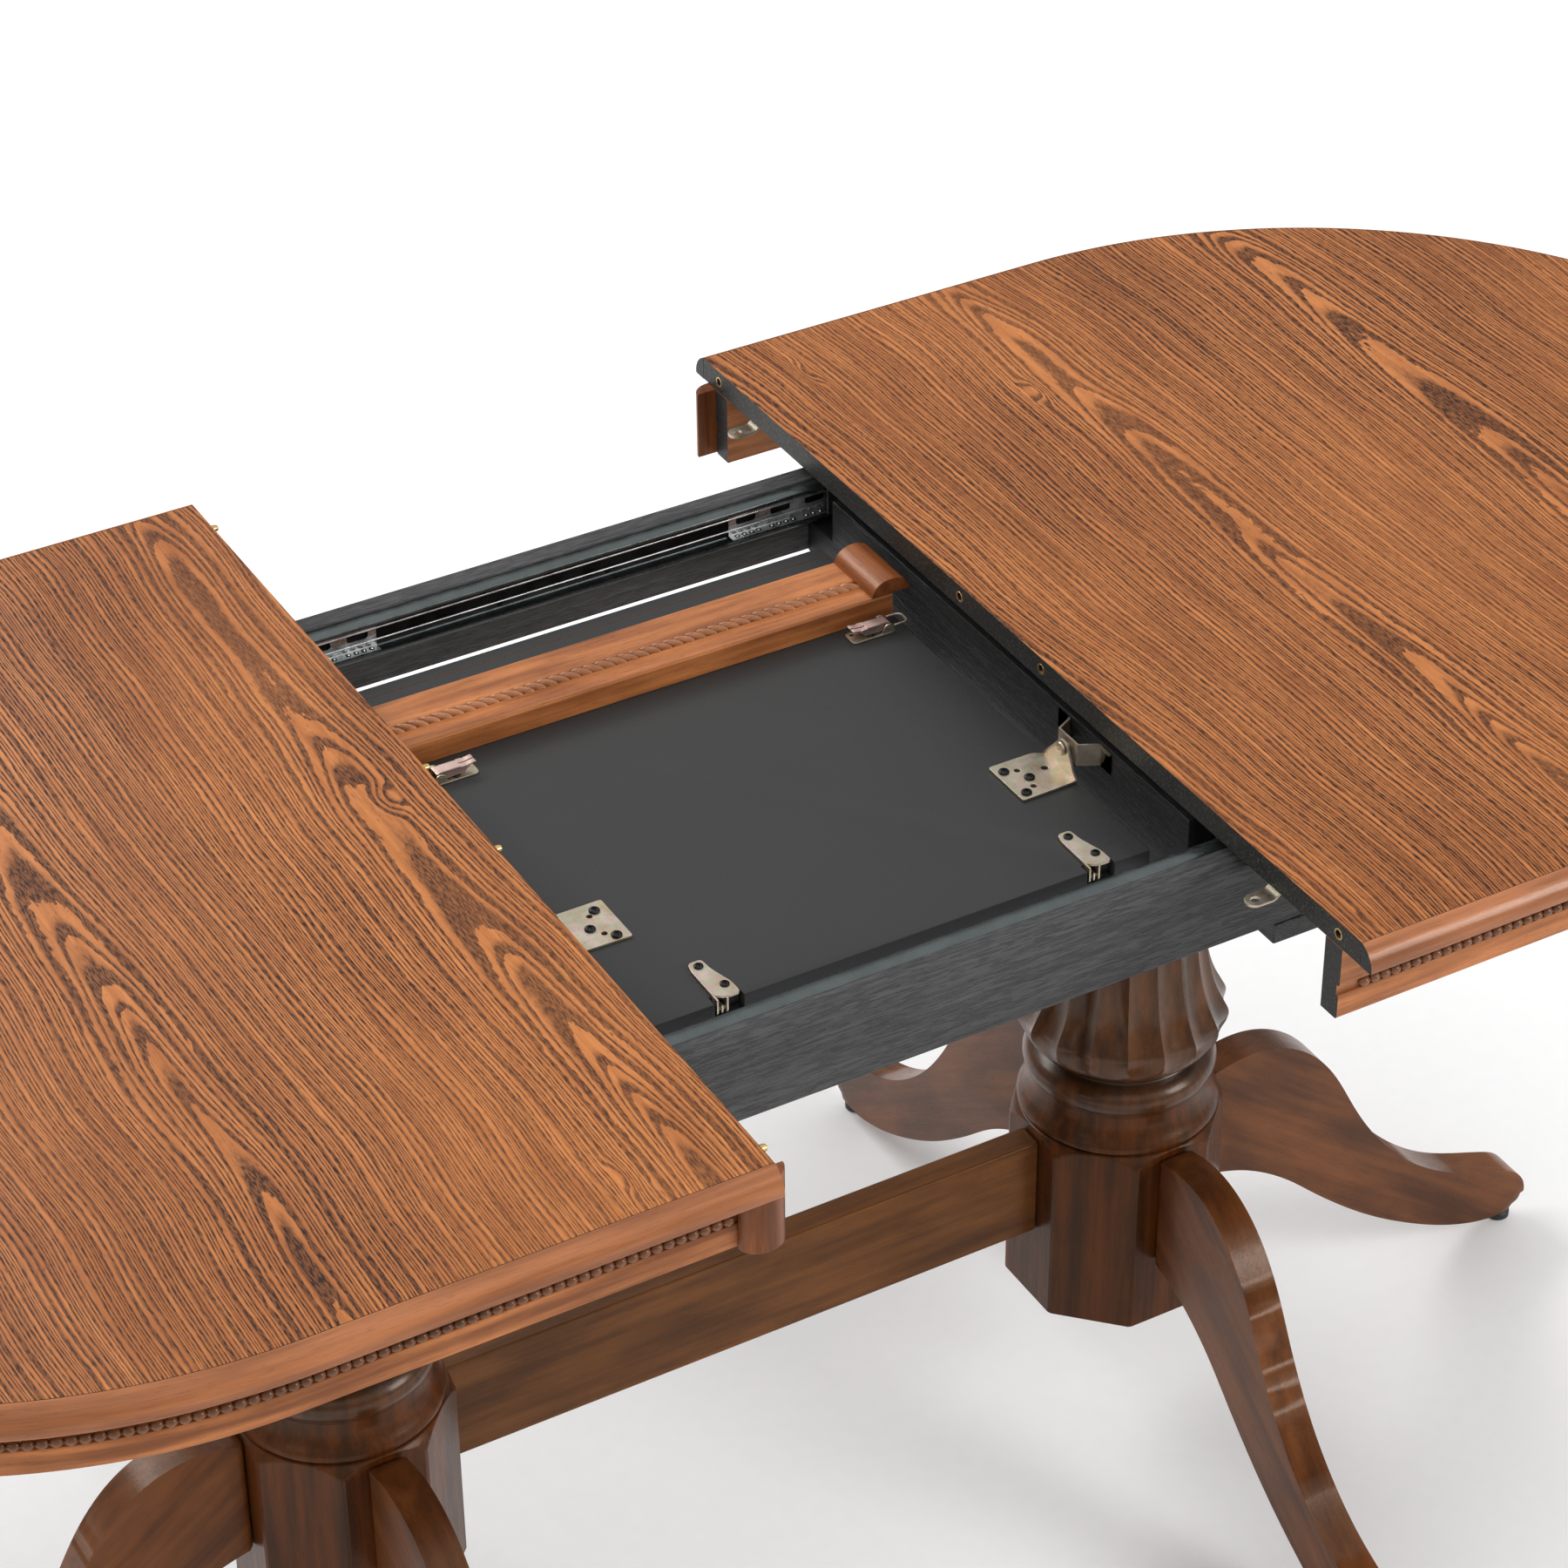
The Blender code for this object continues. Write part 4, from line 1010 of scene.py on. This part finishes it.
cage_zinc = bare_metal("cage_zinc", (0.72, 0.74, 0.74, 1.0), (0.42, 0.44, 0.44, 1.0), 0.28)
ball_steel = bare_metal("ball_steel", (0.80, 0.80, 0.80, 1.0), (0.60, 0.60, 0.60, 1.0), 0.18, grime=0.1)
for label, end in ENDS.items():
    for side_label, side in SIDES.items():
        node = f"cage_{label}_{side_label}"
        low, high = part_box(node)
        deep, flange = (low.y, high.y) if side < 0 else (high.y, low.y)
        inward = -side
        path = [(flange, high.z), (deep + inward * 0.0008, high.z), (deep, high.z - 0.0008),
                (deep, low.z + 0.0008),
                (deep + inward * 0.0008, low.z), (flange, low.z)]
        section = sheet_section(path, 0.0007 * (1 if side < 0 else -1))
        length = high.x - low.x
        windows = []
        count = 10
        middle_z = (low.z + high.z) / 2
        for k in range(count):
            x = low.x + length * (k + 0.5) / count
            windows.append(slot_tool((x - 0.0085, x + 0.0085), (middle_z - 0.0038, middle_z + 0.0038),
                                     sorted((deep - inward * 0.001, deep + inward * 0.0020)), 0.0022))
        piece(node.replace("cage", "ball_cage"), drilled(bar_shape(section, (low.x, high.x)), windows),
              [cage_zinc],
              f"ball_cage_{label}_{side_label}", [node], smooth=40)
        spots, sockets = [], []
        for k in range(count):
            for step in (-1.5, -0.5, 0.5, 1.5):
                x = low.x + length * (k + 0.5) / count + step * 0.0062
                y = (deep + flange) / 2
                for z, inside in ((high.z - 0.0004, -1), (low.z + 0.0004, 1)):
                    spots.append((x, y, z))
                    # Each ball also gets a thin black disc on the flange round it: painted shade for the dark
                    # hole it sits in.
                    face = z + inside * 0.0003
                    sockets.append(turned_about((x, y, face), [(0.0022, 0.0), (0.0022, inside * 0.0002)],
                                                "z", 12))
        body = f"ball_cage_{label}_{side_label}"
        piece(f"balls_{label}_{side_label}", balls(spots, 0.0014), [ball_steel], body,
              smooth=180)
        # Painted shade: the black discs round the balls stand in for the dark holes in the flanges.
        piece(f"sockets_{label}_{side_label}", join_shapes(*sockets), [black_steel], body,
              smooth=40)


# ---- Moving slide members ----------------------------------------------------------------------
# A zinc channel that faces the rail, bent over at the top into a flange that is screwed up into
# the half top's core.

for label, end in ENDS.items():
    for side_label, side in SIDES.items():
        node = f"slide_inner_{label}_{side_label}"
        piece(node.replace("slide_inner", "member"), from_node(node), [slide_zinc], f"half_{label}",
              [node], ease=0.0005)
        low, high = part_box(node)
        heads = []
        flange_y = low.y + 0.012 if side > 0 else high.y - 0.012
        for part in (0.04, 0.20, 0.38, 0.60, 0.80, 0.95):
            x = (low.x + part * (high.x - low.x)) if end > 0 else (high.x - part * (high.x - low.x))
            heads.append(dome((x, flange_y, high.z - 0.0020), -1, 0.0038, 0.0018, "z", 16))
        piece(node.replace("slide_inner", "member_screws"), join_shapes(*heads), [black_steel],
              f"half_{label}",
              smooth=50)


# ---- Seam pins and catch strips ----------------------------------------------------------------
# Brass pins in the left seam enter bushed holes in the right one. Cranked strips of plated steel
# reach past each seam for the latches of the leaf to hook on; each has a hole near its round tip.

YELLOW_TINT = [(0.34, (0.42, 0.36, 0.16, 1)), (0.44, (0.55, 0.36, 0.30, 1)), (0.53, (0.40, 0.44, 0.26, 1)),
               (0.64, (0.62, 0.46, 0.40, 1))]
yellow_zinc = bare_metal("yellow_zinc", (0.62, 0.56, 0.48, 1.0), (0.42, 0.36, 0.29, 1.0), 0.36, YELLOW_TINT,
                         0.25)
brass = bare_metal("brass", (0.72, 0.52, 0.22, 1.0), (0.50, 0.34, 0.14, 1.0), 0.25, grime=0.15)
pin_height = TOP - PIN_DEPTH


def screw(centre, facing, radius=0.0040, height=0.0022):
    """Black pan head with a cross recess, standing along Z from the centre."""
    head = dome(centre, facing, radius, height)
    x, y, z = centre
    low_z, high_z = sorted((z + facing * height * 0.45, z + facing * height * 1.5))
    for wide, deep in ((radius * 0.62, radius * 0.13), (radius * 0.13, radius * 0.62)):
        head = drilled(head, [box_shape((x - wide, y - deep, low_z), (x + wide, y + deep, high_z))])
    return head


bushes = []
for y in PIN_PLACES:
    flange = turned_about((SEAM, y, pin_height), [(0.0041, -0.0001), (0.0045, 0.0003), (0.0045, 0.0006)], "x")
    bore = turned_about((SEAM, y, pin_height), [(0.0031, -0.002), (0.0031, 0.002)], "x")
    bushes.append(drilled(flange, [bore]))
piece("seam_bushes", join_shapes(*bushes), [brass], "half_right", smooth=40)
pins = []
for y in PIN_PLACES:
    pins.append(turned_about((-SEAM, y, pin_height), [(0.0028, -0.002), (0.0028, 0.0060), (0.0022, 0.0078),
                                                      (0.0008, 0.0086)], "x"))
piece("seam_pins", join_shapes(*pins), [brass], "half_left", smooth=40)
for label, end in ENDS.items():
    for side_label in SIDES:
        node = f"tab_{label}_{side_label}"
        low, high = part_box(node)
        middle, half = (low.y + high.y) / 2, (high.y - low.y) / 2
        tip = low.x if end > 0 else high.x
        outline = [(tip + end * 0.097, middle + half), (tip + end * half, middle + half)]
        for k in range(1, 12):
            angle = math.pi / 2 + math.pi * k / 12
            outline.append((tip + end * (half + half * math.cos(angle)), middle + half * math.sin(angle)))
        outline += [(tip + end * half, middle - half), (tip + end * 0.097, middle - half)]
        path = [(tip, low.z + 0.0022), (tip + end * 0.0180, low.z + 0.0022),
                (tip + end * 0.0210, low.z + 0.0036),
                (tip + end * 0.0330, high.z - 0.0014), (tip + end * 0.0360, high.z),
                (tip + end * 0.097, high.z)]
        section = path + [(x, z - 0.0022) for x, z in reversed(path)]
        strip = bar_shape(section, (low.y - 0.001, high.y + 0.001), "y")
        plan = bar_shape(outline, (low.z - 0.01, high.z + 0.01), "z")
        outside = box_shape((min(tip - end * 0.01, tip + end * 0.11), low.y - 0.02, low.z - 0.008),
                            (max(tip - end * 0.01, tip + end * 0.11), high.y + 0.02, high.z + 0.008))
        strip = drilled(strip, [drilled(outside, [plan])])
        bore = [(0.0032, low.z - 0.01), (0.0032, high.z + 0.01)]
        strip = drilled(strip, [turned_about((tip + end * 0.0075, middle, 0), bore)])
        piece(f"catch_{label}_{side_label}", strip, [yellow_zinc], f"half_{label}", [node],
              ease=0.0003, smooth=40)
        heads = [screw((tip + end * reach, middle, high.z - 0.0022), -1) for reach in (0.055, 0.082)]
        piece(f"catch_screws_{label}_{side_label}", join_shapes(*heads), [black_steel], f"half_{label}",
              smooth=40)


# ---- Leaf panels -------------------------------------------------------------------------------
# Two veneered panels stored face to face under the top, veneer inwards, so that their dark
# undersides show. The ovolo moulding along each outer edge lies upside down on the upper one.

leaf_paint = sealed_board("leaf_paint", 0.030)
LEAF_FACES = {}
for label, facing in (("a", 1), ("b", -1)):
    node = f"leaf_panel_{label}"
    low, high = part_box(node)
    under = high.z if facing > 0 else low.z
    LEAF_FACES[label] = under
    shape = from_node(node)
    for face in shape.faces:
        inner = face.normal.z * facing < -0.9 and face.calc_area() > 0.01
        face.material_index = 1 if inner else 0
    piece(f"leaf_board_{label}", shape, [leaf_paint, veneer], f"leaf_{label}", [node],
          ease=0.0007,
          smooth=30)
    edge_low, edge_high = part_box(f"leaf_moulding_{label}")
    veneer_face = edge_low.z if facing > 0 else edge_high.z
    section = moulding_profile(edge_low.y - 0.0003, veneer_face, -facing)
    shape = bar_shape(section, (edge_low.x, edge_high.x))
    for face in shape.faces:
        face.material_index = 1 if abs(face.normal.x) > 0.9 or face.normal.z * facing > 0.9 else 0
    piece(f"leaf_edge_{label}", shape, [moulding_wood, leaf_paint], f"leaf_{label}",
          [f"leaf_moulding_{label}"], grain=along_axes(0, 1, 2, 0.3), smooth=40)


# ---- Leaf aprons -------------------------------------------------------------------------------
# The leaf's two apron pieces fold flat on the panels. Each has a rope moulding carved in a groove
# near one edge and carries a half-round post that covers one joint when the leaf is in use.

leaf_apron_wood = stained_wood("leaf_apron_wood", paint(202, 127, 73), paint(126, 70, 36), 0.5, mottle=0.4)
rope_wood = stained_wood("rope_wood", paint(214, 144, 98), paint(126, 78, 50), 0.9, mottle=0.4)
for label, facing in (("a", 1), ("b", -1)):
    node = f"leaf_apron_{label}"
    low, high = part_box(node)
    panel_face = LEAF_FACES[label]
    back = panel_face + facing * 0.0005
    apron_y = high.y
    section = [(apron_y - drop, back + facing * out) for out, drop in apron_profile()]
    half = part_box(f"leaf_panel_{label}")[1].x
    board = bar_shape(section, (-half, half))
    piece(f"apron_strip_{label}", board, [leaf_apron_wood], node, [node],
          grain=along_axes(0, 1, 2, 2.6), smooth=40)
    end = facing
    middle = 0.199 * end
    outline = half_round(middle, back + facing * (APRON_THICKNESS - 0.0003), facing, 0.016, 0.0125)
    post = bar_shape(outline, (apron_y - APRON_HEIGHT + 0.0003, apron_y - 0.0003), "y")
    piece(f"apron_post_{label}", post, [post_wood], node, ease=0.0007,
          grain=along_axes(1, 0, 2, 0.6))
    places = []
    groove_y = apron_y - (GROOVE_TOP + GROOVE_BOTTOM) / 2
    level = back + facing * (APRON_THICKNESS - GROOVE_DEPTH + 0.0010)
    pitch = 0.0093
    count = int((2 * half - 0.0093) / pitch)
    for k in range(count):
        x = -end * half + end * (pitch * (k + 0.6))
        if abs(x - middle) > 0.0165:
            places.append(((x, groove_y, level), (end, 0, 0), (0, 0, facing)))
    piece(f"rope_{label}", bumps(places, (0.0088, 0.0042, 0.0030), math.radians(36)), [rope_wood], node,
          grain=along_axes(0, 1, 2, 0.2), smooth=180)


# ---- Leaf pivots -------------------------------------------------------------------------------
# Pressed yellow-zinc plates screwed under the upper panel. Each has a bent-up ear riveted to a
# hat-shaped bracket on the cross rail; the folded leaf swings about the two rivets.

def rounded_outline(corners, radius, steps=5):
    """Polygon with each corner rounded."""
    outline = []
    count = len(corners)
    for k, corner in enumerate(corners):
        spot, before, after = Vector(corner), Vector(corners[k - 1]), Vector(corners[(k + 1) % count])
        to_before, to_after = (before - spot), (after - spot)
        reach = min(radius, to_before.length * 0.45, to_after.length * 0.45)
        start, stop = spot + to_before.normalized() * reach, spot + to_after.normalized() * reach
        for j in range(steps + 1):
            t = j / steps
            outline.append(tuple(start * (1 - t) ** 2 + spot * 2 * t * (1 - t) + stop * t * t))
    return outline


def plate_shape(outline, z_range):
    return bar_shape(outline, z_range, "z")


def hole_tool(x, y, z, radius=0.0022, reach=0.006):
    return turned_about((x, y, z), [(radius, -reach), (radius, reach)], "z", 16)


PIVOT_SCREWS = {"right": ((0.1613, -0.0955), (0.1734, -0.1099), (0.1618, -0.1244)),
                "left": ((-0.1610, -0.0945), (-0.1730, -0.1115), (-0.1605, -0.1256))}
for label, end in ENDS.items():
    node = f"pivot_plate_{label}"
    low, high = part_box(node)
    thick = 0.0019
    outer = max(abs(low.x), abs(high.x))
    inner = min(abs(low.x), abs(high.x))
    mid_y = (low.y + high.y) / 2 - 0.001
    corners = [(end * inner, high.y), (end * (outer - 0.010), high.y), (end * outer, high.y - 0.006),
               (end * outer, low.y + 0.001), (end * inner, low.y)]
    plate = plate_shape(rounded_outline(corners, 0.0022), (low.z, low.z + thick))
    tools = []
    for y in (mid_y + 0.0108, mid_y - 0.0108):
        tools.append(hole_tool(end * (inner + 0.0156), y, low.z))
    tools.append(hole_tool(end * (outer - 0.012), mid_y + 0.004, low.z, 0.0026))
    plate = drilled(plate, tools)
    pivot_y, pivot_z = -0.111, TOP - 0.03725
    ear = [(low.y + 0.001, low.z + 0.0003), (high.y - 0.001, low.z + 0.0003), (high.y - 0.006, low.z + 0.006)]
    for k in range(9):
        angle = math.radians(25 + 130 * k / 8)
        ear.append((pivot_y + 0.007 * math.cos(angle), pivot_z + 0.007 * math.sin(angle)))
    ear.append((low.y + 0.006, low.z + 0.006))
    wall = bar_shape(ear, sorted((end * outer, end * (outer - thick))))
    piece(f"leaf_pivot_{label}", join_shapes(plate, wall), [yellow_zinc], "leaf_a", [node],
          ease=0.0003, smooth=40)
    heads = [screw((x, y, low.z + thick), 1) for x, y in PIVOT_SCREWS[label]]
    piece(f"leaf_pivot_screws_{label}", join_shapes(*heads), [black_steel], "leaf_a",
          smooth=40)
    node = f"pivot_bracket_{label}"
    low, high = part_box(node)
    foot = max(abs(low.x), abs(high.x))
    near_y, far_y = low.y, high.y
    hat_low, hat_high = TOP - 0.0465, TOP - 0.029
    flat = 0.2035
    path = [(near_y, foot), (near_y + 0.0135, foot), (near_y + 0.0150, foot - 0.0015),
            (pivot_y - 0.0128, flat + 0.0008),
            (pivot_y - 0.0120, flat), (pivot_y + 0.0120, flat), (pivot_y + 0.0128, flat + 0.0008),
            (far_y - 0.0150, foot - 0.0015), (far_y - 0.0135, foot), (far_y, foot)]
    section = sheet_section(path, 0.0015)
    hat = bar_shape([(end * min(reach, foot), y) for y, reach in section], (hat_low, hat_high), "z")
    tools = []
    for y in (near_y + 0.0065, far_y - 0.0065):
        tools.append(turned_about((end * foot, y, (hat_low + hat_high) / 2),
                                  [(0.0024, -0.004), (0.0024, 0.004)], "x", 16))
    hat = drilled(hat, tools)
    rivet = turned_about((0, pivot_y, pivot_z),
                         [(0.0028, end * (flat + 0.001)), (0.0028, end * 0.1986), (0.0050, end * 0.1986),
                                                 (0.0052, end * 0.1980), (0.0046, end * 0.1970),
                                                 (0.0030, end * 0.19655),
                                                 (0.0012, end * 0.1966), (0.0010, end * 0.1972)], "x")
    piece(f"pivot_hat_{label}", join_shapes(hat, rivet), [yellow_zinc], "base", [node],
          ease=0.0002, smooth=40)


# ---- Fold hinges -------------------------------------------------------------------------------
# Small link hinges let into the folding edge. A plate with two black screws sits on the underside,
# and its knuckle and links drop over the edge into a recess cut through both panels.

hinge_steel = bare_metal("hinge_steel", (0.62, 0.56, 0.50, 1.0), (0.44, 0.38, 0.33, 1.0), 0.34, YELLOW_TINT,
                         0.2)
for label, end in ENDS.items():
    node = f"fold_hinge_{label}"
    low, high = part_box(node)
    plate_z = high.z - 0.0019
    edge_y = low.y + 0.0002
    mid = (low.x + high.x) / 2
    corners = [(mid - 0.0090, high.y - 0.008), (mid - 0.0070, high.y), (mid + 0.0030, high.y),
               (mid + 0.0040, high.y - 0.012),
               (mid + 0.0092, edge_y + 0.013), (mid + 0.0092, edge_y + 0.001), (mid - 0.0010, edge_y + 0.001),
               (mid - 0.0092, edge_y + 0.006)]
    plate = plate_shape(rounded_outline(corners, 0.0030), (plate_z, high.z))
    ear = []
    for k in range(13):
        angle = math.pi + math.pi * k / 12
        ear.append((edge_y + 0.0040 + 0.0038 * math.cos(angle), low.z + 0.0040 + 0.0038 * math.sin(angle)))
    ear += [(edge_y + 0.0078, high.z - 0.0004), (edge_y + 0.0002, high.z - 0.0004)]
    walls = [bar_shape(ear, (mid - 0.0092, mid - 0.0078)), bar_shape(ear, (mid - 0.0018, mid - 0.0004))]
    link = [(y + 0.0002, min(z, high.z - 0.0060)) for y, z in ear]
    walls.append(bar_shape(link, (mid - 0.0056, mid - 0.0042)))
    pin = turned_about((mid, edge_y + 0.0040, low.z + 0.0040), [(0.0014, -0.0093), (0.0014, 0.0002)], "x", 16)
    piece(f"link_hinge_{label}", join_shapes(plate, *walls, pin), [hinge_steel], "leaf_a",
          [node],
          ease=0.00025, smooth=40)
    heads = [screw((mid - 0.0022, high.y - 0.0062, high.z), 1, 0.0034, 0.0018),
             screw((mid + 0.0036, edge_y + 0.0130, high.z), 1, 0.0034, 0.0018)]
    piece(f"link_hinge_screws_{label}", join_shapes(*heads), [black_steel], "leaf_a",
          smooth=40)


# ---- Toggle latches ----------------------------------------------------------------------------
# Draw latches of yellow-zinc sheet: a screwed base with two ears, a wire bail that hooks over a
# catch strip, and a channel-shaped lever whose split tail curls up for the finger.

PINK_TINT = [(0.32, (0.50, 0.34, 0.28, 1)), (0.46, (0.60, 0.40, 0.38, 1)), (0.56, (0.56, 0.44, 0.34, 1)),
             (0.70, (0.66, 0.46, 0.44, 1))]
lever_zinc = bare_metal("lever_zinc", (0.64, 0.47, 0.42, 1.0), (0.46, 0.32, 0.28, 1.0), 0.34, PINK_TINT, 0.2)
for label, facing in (("a", 1), ("b", -1)):
    for end_label, end in ENDS.items():
        base_node, lever_node = f"latch_base_{label}_{end_label}", f"latch_handle_{label}_{end_label}"
        low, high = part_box(base_node)
        middle = (low.y + high.y) / 2
        half = (high.y - low.y) / 2
        face = low.z if facing > 0 else high.z
        thick = 0.0014
        levels = sorted((face, face + facing * thick))
        corners = [(end * 0.154, middle - half), (end * 0.154, middle + half), (end * 0.190, middle + half),
                   (end * 0.190, middle - half)]
        base = plate_shape(rounded_outline(corners, 0.0035), levels)
        base = drilled(base, [hole_tool(end * 0.1585, middle + 0.0035, face, 0.0016)])
        pin_z = face + facing * 0.0057
        ears = []
        for turn in (-1, 1):
            outline = [(end * 0.178, face + facing * 0.0004)]
            for k in range(9):
                angle = math.pi * k / 8
                outline.append((end * (0.184 - 0.0045 * math.cos(angle)),
                                pin_z - facing * 0.001 + facing * 0.0038 * math.sin(angle)))
            outline.append((end * 0.190, face + facing * 0.0004))
            y_range = sorted((middle + turn * (half - 0.0002), middle + turn * (half - 0.0014)))
            ears.append(bar_shape(outline, y_range, "y"))
        axle = turned_about((end * 0.184, middle, pin_z), [(0.0012, -half), (0.0012, half)], "y", 16)
        bail_path = [(end * 0.1890, middle + half - 0.0012, pin_z)]
        for turn, start in ((1, 0), (-1, 1)):
            for k in range(5):
                angle = math.pi / 2 * ((k / 4) if turn > 0 else (1 - k / 4))
                bail_path.append((end * (0.1970 + 0.0040 * math.sin(angle)),
                                  middle + turn * (half - 0.0052 + 0.0040 * math.cos(angle)), pin_z))
        bail_path.append((end * 0.1890, middle - half + 0.0012, pin_z))
        bail = wire_shape(bail_path, 0.00095)
        piece(f"toggle_base_{label}_{end_label}", join_shapes(base, *ears, axle, bail), [yellow_zinc],
              f"leaf_{label}", [base_node], ease=0.00025, smooth=40)
        heads = [screw((end * 0.1703, middle - 0.0030, face + facing * thick), facing, 0.0032, 0.0015),
                 screw((end * 0.1765, middle + 0.0025, face + facing * thick), facing, 0.0032, 0.0015)]
        piece(f"toggle_screws_{label}_{end_label}", join_shapes(*heads), [black_steel], f"leaf_{label}",
              smooth=40)
        low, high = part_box(lever_node)
        wide = (high.y - low.y) / 2
        tip = low.x if end > 0 else high.x
        crown = high.z if facing > 0 else low.z
        shapes = []
        side_outline = [(tip + end * 0.006, crown - facing * 0.0022),
                        (tip + end * 0.010, crown - facing * 0.0064),
                        (tip + end * 0.0308, crown - facing * 0.0068),
                        (tip + end * 0.0312, crown - facing * 0.0015),
                        (tip + end * 0.0290, crown - facing * 0.0008),
                        (tip + end * 0.008, crown - facing * 0.0008)]
        for turn in (-1, 1):
            y_range = sorted((middle + turn * wide, middle + turn * (wide - 0.0011)))
            shapes.append(bar_shape(side_outline, y_range, "y"))
        roof_path = [(tip + end * 0.0312, crown - facing * 0.0014),
                     (tip + end * 0.0285, crown - facing * 0.0008),
                     (tip + end * 0.012, crown - facing * 0.0008)]
        tail_path = [(tip + end * 0.012, crown - facing * 0.0008),
                     (tip + end * 0.008, crown - facing * 0.0011),
                     (tip + end * 0.0045, crown - facing * 0.0006), (tip + end * 0.0018, crown),
                     (tip + end * 0.0002, crown - facing * 0.0002)]
        lower = facing * 0.0010
        section = roof_path + [(x, z - lower) for x, z in reversed(roof_path)]
        shapes.append(bar_shape(section, (middle - wide, middle + wide), "y"))
        section = tail_path + [(x, z - lower) for x, z in reversed(tail_path)]
        for turn in (-1, 1):
            y_range = sorted((middle + turn * 0.0006, middle + turn * (wide - 0.0004)))
            shapes.append(bar_shape(section, y_range, "y"))
        piece(f"toggle_lever_{label}_{end_label}", join_shapes(*shapes), [lever_zinc],
              f"latch_{label}_{end_label}", [lever_node], ease=0.00025, smooth=40)
